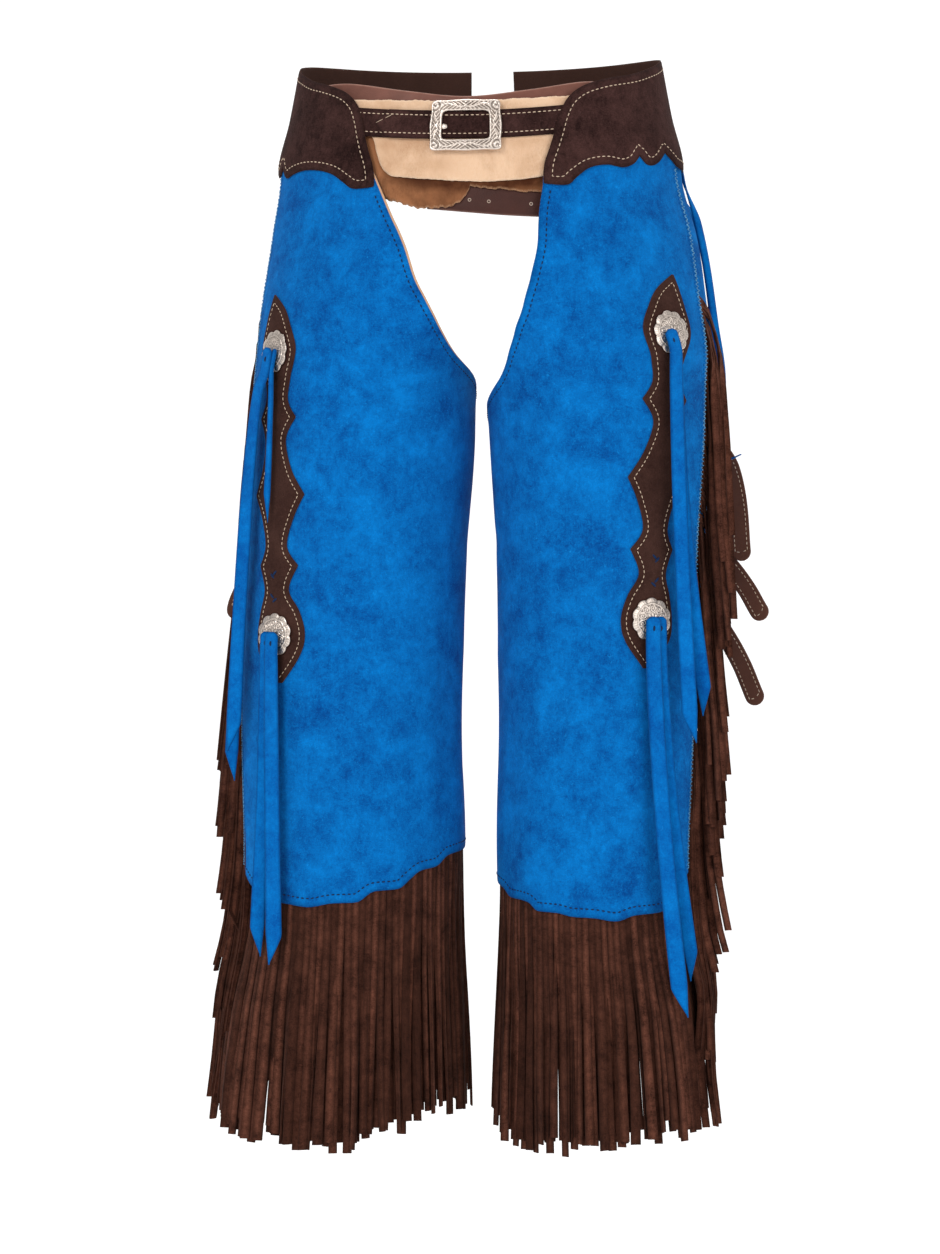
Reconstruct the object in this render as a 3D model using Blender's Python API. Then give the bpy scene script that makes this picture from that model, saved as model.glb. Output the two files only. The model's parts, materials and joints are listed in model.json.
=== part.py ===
"""Long fringed riding chaps in blue suede, in the shape they take when worn.

Metres, +Z up. The front faces -Y and the origin is the middle of the waist, level with the top
of the front belt. Every leather piece is cut from a flat outline in two measures, an angle round
the leg (degrees, 0 straight ahead, growing outward) and a drop below the waist (millimetres), and
is laid on one shared form. Pieces that lie on each other use the same form, moved out.
"""

import math
import random
from collections import namedtuple

import bmesh
import bpy
import numpy as np

# ---- Driving dimensions, in millimetres unless a name says otherwise -------------------------

LEFT = -1                      # the leg at -X
RIGHT = 1                      # the leg at +X
SIDES = ((LEFT, "left"), (RIGHT, "right"))

GAP = 0.3                      # between pieces that lie on each other
SUEDE = 2.0                    # leg panels, yokes, belt and flaps
THIN = 1.6                     # tabs and fringe
STEP_ANGLE = 10.0              # spacing of the form's lines round the leg, degrees
STEP_DROP = 50.0               # spacing of the form's lines down the leg
EDGE_STEP = 15.0               # spacing of points along the long slanted edge

WAIST_HALF = ((-70, 0, 50, 120), (163, 176, 187, 194))   # drops, and half widths of the waist there

# The worn form: centre and half widths of each leg's section, and its depth before and behind.
Level = namedtuple("Level", "drop left_mid left_out left_in right_mid right_out right_in front back")
LEVELS = (
    Level(-70, 0, 163, 163, 0, 163, 163, 98, 98),
    Level(0, 0, 176, 176, 0, 176, 176, 110, 110),
    Level(50, 0, 187, 187, 0, 187, 187, 116, 116),
    Level(110, 30, 165, 168, 30, 171, 174, 118, 120),
    Level(170, 72, 132, 126, 74, 136, 128, 116, 119),
    Level(236, 107, 104, 102, 111, 106, 106, 110, 113),
    Level(310, 112, 104, 104, 113, 101, 101, 104, 108),
    Level(404, 118, 103, 103, 113, 95, 95, 98, 103),
    Level(545, 122, 102, 102, 113, 91, 91, 94, 98),
    Level(690, 119, 103, 103, 109, 90, 90, 92, 94),
    Level(750, 120, 105, 103, 110, 92, 91, 93, 95),
    Level(840, 123, 119, 107, 113, 108, 94, 95, 97),
    Level(1000, 127, 136, 116, 117, 124, 102, 98, 100),
)

# Front edge of each leg panel: down the slanted opening, round the thigh, to the back of the leg.
FrontEdge = namedtuple("FrontEdge", "drop left right")
FRONT_EDGE = (
    FrontEdge(60, 27, 22),
    FrontEdge(75, 23, 20),
    FrontEdge(100, 15, 14.5),
    FrontEdge(130, 4, 8),
    FrontEdge(160, -9, -3),
    FrontEdge(185, -24, -15),
    FrontEdge(208, -42, -30),
    FrontEdge(226, -60, -42),
    FrontEdge(246, -92, -52),
    FrontEdge(264, -115, -72),
    FrontEdge(290, -134, -108),
    FrontEdge(325, -147, -138),
    FrontEdge(365, -150, -150),
)

# Back edge of each back wing: cut away below the yoke to leave the seat open.
BackEdge = namedtuple("BackEdge", "drop angle")
BACK_EDGE = (
    BackEdge(20, 152),
    BackEdge(60, 138),
    BackEdge(110, 122),
    BackEdge(160, 115),
    BackEdge(210, 114),
    BackEdge(255, 121),
    BackEdge(300, 135),
    BackEdge(350, 147),
    BackEdge(400, 150),
)

# Scalloped hem of the legs and the tips of the hem fringe: drop at each angle round the leg.
Hem = namedtuple("Hem", "angle left right")
HEM = (
    Hem(-150, 684, 708),
    Hem(-110, 684, 710),
    Hem(-84, 685, 714),
    Hem(-66, 688, 718),
    Hem(-55, 698, 726),
    Hem(-44, 701, 727),
    Hem(-37, 709, 729),
    Hem(-31, 717, 736),
    Hem(-18, 719, 737),
    Hem(-9, 729, 740),
    Hem(3, 730, 741),
    Hem(16, 734, 744),
    Hem(27, 732, 739),
    Hem(44, 728, 737),
    Hem(60, 717, 722),
    Hem(74, 706, 704),
    Hem(110, 700, 700),
    Hem(150, 696, 698),
)
HEM_TIPS = (
    Hem(-150, 925, 930),
    Hem(-84, 923, 931),
    Hem(-53, 926, 950),
    Hem(-31, 941, 955),
    Hem(-8, 955, 952),
    Hem(13, 959, 947),
    Hem(28, 950, 943),
    Hem(50, 945, 938),
    Hem(75, 925, 928),
    Hem(150, 925, 925),
)

# Yoke over each hip: top edge from the back to the front point, then the scalloped lower edge.
Corner = namedtuple("Corner", "angle drop sharp")
YOKE_TURN = {LEFT: 4.5, RIGHT: 0.0}     # the left yoke stops further from the middle, degrees
YOKE_TOP = (
    Corner(173, -62, True),
    Corner(120, -60, False),
    Corner(92, -53, False),
    Corner(73, -41, False),
    Corner(59, -31, False),
    Corner(46, -24, False),
    Corner(37, -16, False),
    Corner(31.5, -5, False),
    Corner(28.2, 10, False),
    Corner(26, 26, False),
    Corner(23.5, 46, False),
    Corner(20, 76, True),
)
YOKE_BOTTOM = (
    Corner(20, 76, True),
    Corner(27, 76.5, False),
    Corner(31, 69, False),
    Corner(36, 60, False),
    Corner(42, 56.5, False),
    Corner(48, 58, False),
    Corner(52.5, 53.5, False),
    Corner(55, 46, True),
    Corner(58, 53, False),
    Corner(61.5, 53.5, False),
    Corner(65, 49, False),
    Corner(69, 40, True),
    Corner(74, 46, False),
    Corner(82, 51, False),
    Corner(110, 50, False),
    Corner(140, 45, False),
    Corner(173, 40, True),
)
PANEL_TOP = ((32, 48), (41, 38), (52, 30))   # top of the leg panel under the yoke: angle, drop
SEAM_ANGLE = 74.0              # side seam, where the front panel lies over the back wing
SEAM_ANGLE_HIP = 80.0          # the same seam level with the yoke
SEAM_STRAIGHT_DROP = 240.0     # below this the seam keeps SEAM_ANGLE
PANEL_TOP_DROP = 24.0          # top of the panels at the side, under the yoke

# Front pieces between the yokes, as distance from the middle (negative is left) and drop.
BELT_TOP = 8.5
BELT_WIDTH = 26.0
BELT_RISE = 8.0                # how much higher the belt is at BELT_REACH than in the middle
BELT_REACH = 105.0
BILLET_TIP = -84.0             # the pointed end of the right strap, left of the buckle
BELT_LEFT = (-119.0, -27.0)
BELT_RIGHT_END = 112.0
BILLET_RAMP = (-24.0, 34.0)    # between these the strap climbs on to the left one

BUCKLE_CENTRE = (1.0, 22.5)
BUCKLE_SIZE = (66.0, 47.0)
BUCKLE_WINDOW = (42.0, 24.5)
BUCKLE_THICK = (1.4, 3.4, 1.8)  # at the rim, on the ridge and at the window

# Scalloped tab on each leg: its inner and outer edges.
TabEdge = namedtuple("TabEdge", "drop inner outer sharp")
TAB = (
    TabEdge(155, 55, 56, True),
    TabEdge(168, 45.5, 57.5, False),
    TabEdge(184, 38.5, 58.5, False),
    TabEdge(208, 30.5, 58.5, False),
    TabEdge(234, 31.5, 51, False),
    TabEdge(254, 32, 49, False),
    TabEdge(270, 26.5, 53.5, True),
    TabEdge(290, 32.5, 48, False),
    TabEdge(316, 28, 49, False),
    TabEdge(341, 19, 55, True),
    TabEdge(362, 24.5, 47.5, False),
    TabEdge(388, 28, 43.5, False),
    TabEdge(406, 21, 47.5, True),
    TabEdge(428, 26, 43, False),
    TabEdge(448, 20, 46, False),
    TabEdge(470, 16.5, 48, False),
    TabEdge(490, 19, 46, False),
    TabEdge(514, 29, 33, True),
)
TAB_LOWER = {LEFT: 14.0, RIGHT: 0.0}    # the left leg carries its tab lower

CONCHO_RADIUS = 20.0
CONCHO_SCALLOPS = 10
CONCHO_DOME = 4.0
Concho = namedtuple("Concho", "name angle drop")
CONCHOS = (Concho("upper", 44.5, 209), Concho("lower", 33.5, 470))

# Ties: flat thongs hanging from a concho. out and back say where the tip ends from the concho.
Tie = namedtuple("Tie", "side concho number length width out back shift")
TIES = (
    Tie(LEFT, "upper", 1, 373, 14, 34, 22, 2.0),
    Tie(LEFT, "upper", 2, 402, 12, 40, 36, 7.0),
    Tie(LEFT, "upper", 3, 160, 6, 6, 4, -8.5),
    Tie(LEFT, "lower", 1, 306, 15, -2, 0, -2.0),
    Tie(LEFT, "lower", 2, 300, 12, 10, 6, 7.0),
    Tie(RIGHT, "upper", 1, 376, 15, 24, 16, 2.0),
    Tie(RIGHT, "upper", 2, 352, 12, 28, 28, 7.0),
    Tie(RIGHT, "lower", 1, 364, 15, 26, 8, -2.0),
    Tie(RIGHT, "lower", 2, 333, 12, 30, 20, 7.0),
)
TIE_POINT = 34.0               # length of the pointed end
TIE_THICK = 2.0
TIE_BEND = 16.0                # length over which it turns down past the rim
TIE_RISE = 3.0                 # the slot that it comes through, above the concho's middle
TIE_TIP = 0.12                 # width of the very tip as a share of the thong

# Hip laces: thongs hanging from the side of each yoke. Stations: distance out, back and drop.
HIP_LACE_WIDTH = 8.0
HIP_LACE_REST = 28.0           # length that lies on the yoke before it hangs
HIP_LACE_TURN = 0.2            # how far the hanging lace's flat face is turned from the side
HipLace = namedtuple("HipLace", "angle drop stations")
HIP_LACES = (
    HipLace(102, 26, ((206, 23, 96), (215, 23, 140), (222, 24, 190), (229, 25, 240), (232, 25, 322))),
    HipLace(110, 28, ((201, 37, 96), (211, 37, 140), (218, 38, 200), (226, 38, 320), (230, 38, 446))),
)

# Leg straps: drop of each strap and the free end that stands out behind the leg.
STRAP_WIDTH = 18.0
STRAP_START = 231.0            # sewn to the inner edge of the panel, degrees
STRAP_LEAVE = 130.0            # where the free end leaves the leg
LEG_BUCKLE_ANGLE = 140.0
LegStrap = namedtuple("LegStrap", "drop tail")
Tail = namedtuple("Tail", "out back drop lean width")
LEG_STRAPS = (
    LegStrap(300, (Tail(101, 70, 304, 4, 1), Tail(119, 60, 326, 40, 1), Tail(127, 56, 365, 76, 1),
                   Tail(130, 55, 406, 80, 1), Tail(131, 55, 414, 80, 0.55))),
    LegStrap(395, (Tail(99, 70, 400, 4, 1), Tail(117, 60, 417, 24, 1), Tail(135, 56, 441, 36, 1),
                   Tail(147, 55, 462, 38, 1), Tail(152, 55, 469, 38, 0.55))),
    LegStrap(455, (Tail(97, 70, 462, 6, 1), Tail(113, 60, 482, 36, 1), Tail(130, 56, 512, 50, 1),
                   Tail(142, 55, 541, 54, 1), Tail(146, 55, 550, 54, 0.55))),
)
LEFT_TAIL_TUCK = 26.0          # the left free ends hang this much closer to the leg

BACK_STRAP = (158.0, 202.0, -20.0, 12.0)   # from angle, to angle, top drop, bottom drop

# Fringe
HEM_STRANDS = 88
HEM_TIP_SHARE = 0.74           # strand width at its tip as a share of its pitch
HEM_STRIP = (34.0, 9.0)        # the strip's top and bottom edge above the hem
HEM_STRIP_TURNS_IN = (56.0, 64.0)   # between these angles it passes inside the back wing
HEM_STRIP_DEEP = 6.2           # how much further in it then lies
SIDE_STRANDS = 35
SIDE_TOP = 168.0
SIDE_STRIP = (70.3, 76.0)      # angles that the strip lies between, under the front panel
WING_START = 66.0              # the wing's front edge, under the front panel
SIDE_LANES = (78.0, 82.5, 87.5, 92.5)   # angles in which the strands hang, between the form's lines
SIDE_STRAND_WIDTH = 6.6
SIDE_LENGTH = 205.0
SIDE_LEAN = {LEFT: 0.118, RIGHT: 0.098}     # how far a hanging strand stands out for each mm it falls
WING_DEEP = 4.3                # how far inside the front panel the wing starts
WING_RISES = (80.0, 90.0)      # between these lines of the form it comes out level

Finish = namedtuple("Finish", "name colour roughness metallic")
BLUE = Finish("blue_suede", (0.003, 0.130, 0.480), 0.92, 0.0)
BROWN = Finish("brown_suede", (0.038, 0.017, 0.013), 0.90, 0.0)
FRINGE = Finish("brown_fringe_suede", (0.050, 0.020, 0.013), 0.92, 0.0)
TAN = Finish("tan_split_leather", (0.780, 0.530, 0.350), 0.88, 0.0)
RUST = Finish("raw_flesh_leather", (0.300, 0.140, 0.065), 0.95, 0.0)
SMOOTH = Finish("smooth_brown_leather", (0.075, 0.036, 0.028), 0.50, 0.0)
SILVER = Finish("engraved_silver", (0.640, 0.600, 0.560), 0.34, 1.0)
STEEL = Finish("plain_nickel", (0.600, 0.600, 0.600), 0.30, 1.0)


# ---- Curves and the shared form ---------------------------------------------------------------

def smooth(value, xs, ys):
    """A curve through the table's points that doesn't overshoot them."""
    xs = np.asarray(xs, float)
    ys = np.asarray(ys, float)
    span = np.diff(xs)
    slope = np.diff(ys) / span
    tangent = np.concatenate([slope[:1], np.zeros(len(xs) - 2), slope[-1:]])
    same = slope[:-1] * slope[1:] > 0
    total = np.where(same, slope[:-1] + slope[1:], 1.0)
    tangent[1:-1] = np.where(same, 2 * slope[:-1] * slope[1:] / total, 0.0)
    value = np.clip(np.asarray(value, float), xs[0], xs[-1])
    i = np.clip(np.searchsorted(xs, value, side="right") - 1, 0, len(span) - 1)
    t = (value - xs[i]) / span[i]
    start = (2 * t**3 - 3 * t**2 + 1) * ys[i] + (t**3 - 2 * t**2 + t) * span[i] * tangent[i]
    end = (3 * t**2 - 2 * t**3) * ys[i + 1] + (t**3 - t**2) * span[i] * tangent[i + 1]
    return start + end


def column(table, name):
    return [getattr(row, name) for row in table]


def level(name, drop):
    return smooth(drop, column(LEVELS, "drop"), column(LEVELS, name))


def blend(value, start, end):
    """0 before start, 1 after end, and a soft rise between them."""
    t = np.clip((np.asarray(value, float) - start) / (end - start), 0.0, 1.0)
    return t * t * (3 - 2 * t)


def side_name(side):
    return "left" if side == LEFT else "right"


def section(side, angle, drop):
    """Points and outward directions of the true form, in millimetres."""
    name = side_name(side)
    turn = np.radians(angle)
    s = np.sin(turn)
    c = np.cos(turn)
    half = np.where(s >= 0, level(name + "_out", drop), level(name + "_in", drop))
    depth = np.where(c >= 0, level("front", drop), level("back", drop))
    across = s / half
    along = -c / depth
    size = np.hypot(across, along)
    point = np.stack([side * (level(name + "_mid", drop) + half * s), -depth * c, -drop], -1)
    normal = np.stack([side * across / size, along / size, 0 * drop], -1)
    return point, normal


def waist_section(side, angle, drop):
    """The waist ellipse carried on down behind the front opening."""
    turn = np.radians(angle)
    half = smooth(drop, *WAIST_HALF)
    depth = level("front", drop)
    across = np.sin(turn) / half
    along = -np.cos(turn) / depth
    size = np.hypot(across, along)
    point = np.stack([side * half * np.sin(turn), -depth * np.cos(turn), -drop], -1)
    normal = np.stack([side * across / size, along / size, 0 * drop], -1)
    return point, normal


def on_form(side, angle, drop, out, form=section):
    """Points of the form moved out by out millimetres, in metres.

    The form is flat in each half of a cell between its lines, so pieces of any outline lie on each
    other exactly.
    """
    angle, drop, out = np.broadcast_arrays(*(np.asarray(a, float) for a in (angle, drop, out)))
    low_angle = np.floor(angle / STEP_ANGLE) * STEP_ANGLE
    low_drop = np.floor(drop / STEP_DROP) * STEP_DROP
    u = ((angle - low_angle) / STEP_ANGLE)[..., None]
    v = ((drop - low_drop) / STEP_DROP)[..., None]
    corner = {}
    for du in (0, 1):
        for dv in (0, 1):
            point, normal = form(side, low_angle + du * STEP_ANGLE, low_drop + dv * STEP_DROP)
            corner[du, dv] = point + normal * out[..., None]
    low = corner[0, 0] + u * (corner[1, 0] - corner[0, 0]) + v * (corner[0, 1] - corner[0, 0])
    high = corner[1, 1] + (1 - u) * (corner[0, 1] - corner[1, 1]) + (1 - v) * (corner[1, 0] - corner[1, 1])
    return np.where(u + v <= 1, low, high) / 1000.0


# ---- Making solids ------------------------------------------------------------------------------

def material(finish):
    found = bpy.data.materials.get(finish.name)
    if found:
        return found
    made = bpy.data.materials.new(finish.name)
    made.use_nodes = True
    shader = made.node_tree.nodes["Principled BSDF"]
    shader.inputs["Base Color"].default_value = (*finish.colour, 1.0)
    shader.inputs["Roughness"].default_value = finish.roughness
    shader.inputs["Metallic"].default_value = finish.metallic
    return made


def add_object(name, points, faces, finish):
    mesh = bpy.data.meshes.new(name)
    mesh.from_pydata([tuple(p) for p in points], [], faces)
    work = bmesh.new()
    work.from_mesh(mesh)
    bmesh.ops.recalc_face_normals(work, faces=work.faces)
    work.to_mesh(mesh)
    work.free()
    mesh.shade_smooth()
    mesh.set_sharp_from_angle(angle=math.radians(40))
    mesh.materials.append(material(finish))
    made = bpy.data.objects.new(name, mesh)
    bpy.context.scene.collection.objects.link(made)
    return made


def close_wall(inner, outer, faces):
    """Faces of a closed wall from the faces of one side: both sides and the cut edge."""
    count = len(inner)
    edges = {}
    for face in faces:
        for a, b in zip(face, face[1:] + face[:1]):
            edges[(a, b)] = (b, a)
    rim = [(a, b) for a, b in edges if (b, a) not in edges]
    walls = [tuple(reversed(face)) for face in faces]
    walls += [tuple(i + count for i in face) for face in faces]
    walls += [(a, b, b + count, a + count) for a, b in rim]
    return np.concatenate([inner, outer]), walls


def cut_piece(name, outline, place, finish):
    """A piece cut along a flat outline and laid on a form.

    outline is a closed list of (angle, drop); place(angle, drop, side of the wall) gives the
    points, with 0 the inner side and 1 the outer side.
    """
    work = bmesh.new()
    work.faces.new([work.verts.new((u, v, 0.0)) for u, v in outline])
    flat = np.array(outline, float)
    grid = flat / (STEP_ANGLE, STEP_DROP)
    for u, v in ((0, 1), (1, 0), (1, 1)):
        # Level lines, lines down the leg, and the diagonals of their cells.
        along = grid @ (u, v)
        for line in range(math.ceil(along.min()), math.floor(along.max()) + 1):
            at = (line * STEP_ANGLE * u, line * STEP_DROP * v * (1 - u), 0.0)
            everything = work.verts[:] + work.edges[:] + work.faces[:]
            normal = (u / STEP_ANGLE, v / STEP_DROP, 0.0)
            bmesh.ops.bisect_plane(work, geom=everything, dist=0.02, plane_co=at, plane_no=normal)
    bmesh.ops.triangulate(work, faces=work.faces[:])
    work.verts.index_update()
    flat = np.array([(v.co.x, v.co.y) for v in work.verts])
    faces = [tuple(v.index for v in face.verts) for face in work.faces]
    work.free()
    inner = place(flat[:, 0], flat[:, 1], 0.0)
    outer = place(flat[:, 0], flat[:, 1], 1.0)
    points, walls = close_wall(inner, outer, faces)
    return add_object(name, points, walls, finish)


def laid_on(side, base, thick, form=section):
    """A place function for cut_piece: a wall from base to base + thick out from the form."""
    def place(angle, drop, share):
        return on_form(side, angle, drop, base + thick * share, form)
    return place


def round_off(corners, per_span=3):
    """An outline through (angle, drop, sharp) corners, curved everywhere but at the sharp ones."""
    points = []
    for i in range(len(corners) - 1):
        a, b = corners[i], corners[i + 1]
        before = corners[i - 1] if i > 0 and not a[2] else a
        after = corners[i + 2] if i + 2 < len(corners) and not b[2] else b
        for k in range(per_span):
            t = k / per_span
            p = []
            for axis in (0, 1):
                p0, p1, p2, p3 = before[axis], a[axis], b[axis], after[axis]
                bend = 2 * p0 - 5 * p1 + 4 * p2 - p3
                p.append(0.5 * (2 * p1 + (p2 - p0) * t + bend * t**2 + (3 * p1 - p0 - 3 * p2 + p3) * t**3))
            points.append(tuple(p))
    points.append((corners[-1][0], corners[-1][1]))
    return points


def loft(sections):
    """Points and faces of a closed body through sections of four corners."""
    faces = [(3, 2, 1, 0), tuple(4 * (len(sections) - 1) + k for k in range(4))]
    for i in range(len(sections) - 1):
        for k in range(4):
            j = (k + 1) % 4
            faces.append((4 * i + k, 4 * i + j, 4 * i + 4 + j, 4 * i + 4 + k))
    return [point for section in sections for point in section], faces


def ribbon(name, centres, across, half, thick, finish):
    """A flat strap through stations: centre, direction of its width, half width and thickness."""
    centres = np.asarray(centres, float)
    across = np.asarray(across, float)
    across = across / np.linalg.norm(across, axis=1)[:, None]
    face = np.cross(across, np.gradient(centres, axis=0))
    face = face / np.linalg.norm(face, axis=1)[:, None]
    wide = across * np.asarray(half, float).reshape(-1, 1)
    deep = face * (thick / 2)
    corners = (centres - wide - deep, centres + wide - deep, centres + wide + deep, centres - wide + deep)
    points, faces = loft(np.stack(corners, 1))
    return add_object(name, points, faces, finish)


# ---- Legs ---------------------------------------------------------------------------------------

def front_edge(side, drop):
    return smooth(drop, column(FRONT_EDGE, "drop"), column(FRONT_EDGE, side_name(side)))


def hem(side, angle):
    return smooth(angle, column(HEM, "angle"), column(HEM, side_name(side)))


def hem_tips(side, angle):
    return smooth(angle, column(HEM_TIPS, "angle"), column(HEM_TIPS, side_name(side)))


def seam(drop):
    return SEAM_ANGLE_HIP + (SEAM_ANGLE - SEAM_ANGLE_HIP) * blend(drop, PANEL_TOP_DROP, SEAM_STRAIGHT_DROP)


def leg_panel(side, name):
    """The main piece: the front and the inside of the leg, from the side seam to the back."""
    top, bottom = FRONT_EDGE[0].drop, FRONT_EDGE[-1].drop
    steps = round((bottom - top) / EDGE_STEP)
    edge = [(float(front_edge(side, d)), float(d)) for d in np.linspace(top, bottom, steps + 1)]
    last = edge[-1][0]
    hem_line = [(float(row.angle), float(getattr(row, name))) for row in HEM if last <= row.angle <= SEAM_ANGLE]
    seam_drops = (600, 440, SEAM_STRAIGHT_DROP, 180, 120, 70, PANEL_TOP_DROP)
    seam_line = [(float(seam(d)), float(d)) for d in seam_drops]
    top_line = [(float(a), float(d)) for a, d in reversed(PANEL_TOP)]
    cut_piece(f"{name}_leg", edge + hem_line + seam_line + top_line, laid_on(side, 0.0, SUEDE), BLUE)


def wing_base(angle):
    """How far out from the form the wing's inner face lies: deep under the seam, then level."""
    return -WING_DEEP * (1 - np.clip((angle - WING_RISES[0]) / (WING_RISES[1] - WING_RISES[0]), 0, 1))


def back_wing(side, name):
    """The narrow back piece, from under the side seam to the open back of the leg."""
    start = WING_START
    hem_line = [(start, float(hem(side, start)) - 2.0)]
    hem_line += [(float(row.angle), float(getattr(row, name))) for row in HEM if row.angle > SEAM_ANGLE]
    edge = [(float(row.angle), float(row.drop)) for row in reversed(BACK_EDGE)]

    def place(angle, drop, share):
        return on_form(side, angle, drop, wing_base(angle) + SUEDE * share)

    outline = hem_line + edge + [(start + 4.0, PANEL_TOP_DROP), (start, SEAM_STRAIGHT_DROP)]
    cut_piece(f"{name}_back_wing", outline, place, BLUE)


def yoke(side, name):
    turn = YOKE_TURN[side]

    def turned(corners):
        # The turn fades out towards the side, so that both yokes meet behind alike.
        return [(c.angle + turn * (1 - float(blend(c.angle, 40, 70))), c.drop, c.sharp) for c in corners]

    top = round_off(turned(YOKE_TOP), 2)
    bottom = round_off(turned(YOKE_BOTTOM), 2)
    outline = top + bottom[1:]
    cut_piece(f"{name}_yoke", outline, laid_on(side, SUEDE + GAP, SUEDE), BROWN)


def tab(side, name):
    """The scalloped tab that carries the conchos."""
    lower = TAB_LOWER[side]
    inner = round_off([(t.inner, t.drop + lower, t.sharp) for t in TAB], 2)
    outer = round_off([(t.outer, t.drop + lower, t.sharp) for t in TAB], 2)
    cut_piece(f"{name}_tab", inner + outer[::-1], laid_on(side, SUEDE + GAP, THIN), BROWN)


# ---- Front pieces between the yokes ---------------------------------------------------------------

def front_angle(x):
    """The angle on the waist form at a distance x from the middle."""
    return math.degrees(math.asin(x / float(level("right_out", 20.0))))


def belt_line(x, below):
    """Drop of the belt's edge at x: the belt dips towards the middle."""
    return BELT_TOP + below - BELT_RISE * (x / BELT_REACH) ** 2


def front_piece(name, corners, base, finish, thick=SUEDE, per_span=2):
    outline = [(front_angle(x), drop) for x, drop in round_off(corners, per_span)]
    cut_piece(name, outline, laid_on(RIGHT, base, thick, waist_section), finish)


def belt():
    left = [(x, belt_line(x, 0.0), True) for x in np.linspace(*BELT_LEFT, 5)]
    left += [(x, belt_line(x, BELT_WIDTH), True) for x in np.linspace(*BELT_LEFT[::-1], 5)]
    front_piece("belt_left", left + left[:1], 0.0, BROWN, per_span=1)
    tip = (BILLET_TIP, belt_line(BILLET_TIP, BELT_WIDTH / 2))
    shoulder = BILLET_TIP + 13.0
    top = [(x, belt_line(x, 0.0)) for x in np.linspace(shoulder, BELT_RIGHT_END, 9)]
    bottom = [(x, belt_line(x, BELT_WIDTH)) for x in np.linspace(BELT_RIGHT_END, shoulder, 9)]
    outline = [(front_angle(x), drop) for x, drop in [tip] + top + bottom]
    low, high = (front_angle(x) for x in BILLET_RAMP)

    def place(angle, drop, share):
        climb = (SUEDE + GAP) * (1 - blend(angle, low, high))
        return on_form(RIGHT, angle, drop, climb + SUEDE * share, waist_section)

    cut_piece("belt_right", outline, place, BROWN)


def buckle_ring(share, half_wide, half_high, lobes):
    """One loop of the buckle: a rounded rectangle whose corners swell into scrolls."""
    turn = 2 * math.pi * share
    c, s = math.cos(turn), math.sin(turn)
    box = 1.0 / max(abs(c) / half_wide, abs(s) / half_high)
    corner = math.hypot(half_wide, half_high)
    near = max(0.0, 1.0 - abs(box - corner) / (0.34 * corner))
    wave = lobes * (0.5 * near**2 + 0.28 * math.cos(8 * turn))
    return (box + wave) * c, (box + wave) * s


def buckle():
    steps = 32
    half_wide, half_high = (size / 2 for size in BUCKLE_SIZE)
    window_wide, window_high = (size / 2 for size in BUCKLE_WINDOW)
    base = 2 * (SUEDE + GAP)
    loops = (
        (half_wide - 1.0, half_high - 1.0, 1.2, 0.0),
        (half_wide - 1.0, half_high - 1.0, 1.2, BUCKLE_THICK[0]),
        ((half_wide + window_wide) / 2, (half_high + window_high) / 2, 0.5, BUCKLE_THICK[1]),
        (window_wide, window_high, 0.0, BUCKLE_THICK[2]),
        (window_wide, window_high, 0.0, 0.0),
    )
    points = []
    for wide, high, lobes, raised in loops:
        for i in range(steps):
            x, rise = buckle_ring(i / steps, wide, high, lobes)
            x += BUCKLE_CENTRE[0]
            drop = BUCKLE_CENTRE[1] - rise
            points.append(on_form(RIGHT, front_angle(x), drop, base + raised, waist_section))
    faces = []
    for k in range(len(loops)):
        j = (k + 1) % len(loops)
        for i in range(steps):
            n = (i + 1) % steps
            faces.append((k * steps + i, k * steps + n, j * steps + n, j * steps + i))
    add_object("buckle", points, faces, SILVER)
    left = BUCKLE_CENTRE[0] - window_wide + GAP
    rest = [(left, 20.0, True), (left + 7.0, 21.0, True), (left + 7.0, 26.0, True), (left, 27.0, True)]
    front_piece("buckle_tongue", rest + rest[:1], base, SILVER, BUCKLE_THICK[2], 1)


def flaps_and_band():
    upper = (
        (-112, -14, True), (-60, -5, False), (0, -1, False), (60, -5, False), (102, -12, True),
        (100, 56, True), (74, 67, False), (44, 72, False), (12, 73.5, False), (-26, 71, False),
        (-54, 68, False), (-66, 66, False), (-75, 58, False), (-81, 44, False), (-88, 28, False),
        (-112, 8, True),
    )
    under = (
        (-118, 2, True), (96, 2, True), (94, 80, True), (74, 83, False), (36, 81, False),
        (8, 78, True), (3, 82, False), (-3, 90, False), (-14, 95, False), (-32, 97, False),
        (-56, 92, False), (-76, 84, False), (-92, 70, False), (-110, 52, True),
    )
    band = (
        (-122, -25, True), (-60, -13, False), (0, -6, False), (60, -12, False), (112, -22, True),
        (112, 12, True), (0, 22, False), (-122, 12, True),
    )
    strap = (
        (-34, 76, True), (8, 79, False), (40, 82, False), (96, 84, True),
        (96, 106, True), (40, 104, False), (4, 101, False), (-34, 97, True),
    )
    layer = SUEDE + GAP
    front_piece("upper_flap", upper + upper[:1], -layer, TAN)
    front_piece("under_flap", under + under[:1], -2 * layer, RUST)
    front_piece("waist_band", band + band[:1], -3 * layer, SMOOTH)
    front_piece("inner_strap", strap + strap[:1], -3 * layer, SMOOTH)


def back_strap():
    start, end, top, bottom = BACK_STRAP
    outline = [(start, top), (end, top), (end, bottom), (start, bottom)]
    cut_piece("back_strap", outline, laid_on(RIGHT, 2 * (SUEDE + GAP), SUEDE), BROWN)


# ---- Conchos, ties and laces ----------------------------------------------------------------------

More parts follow.
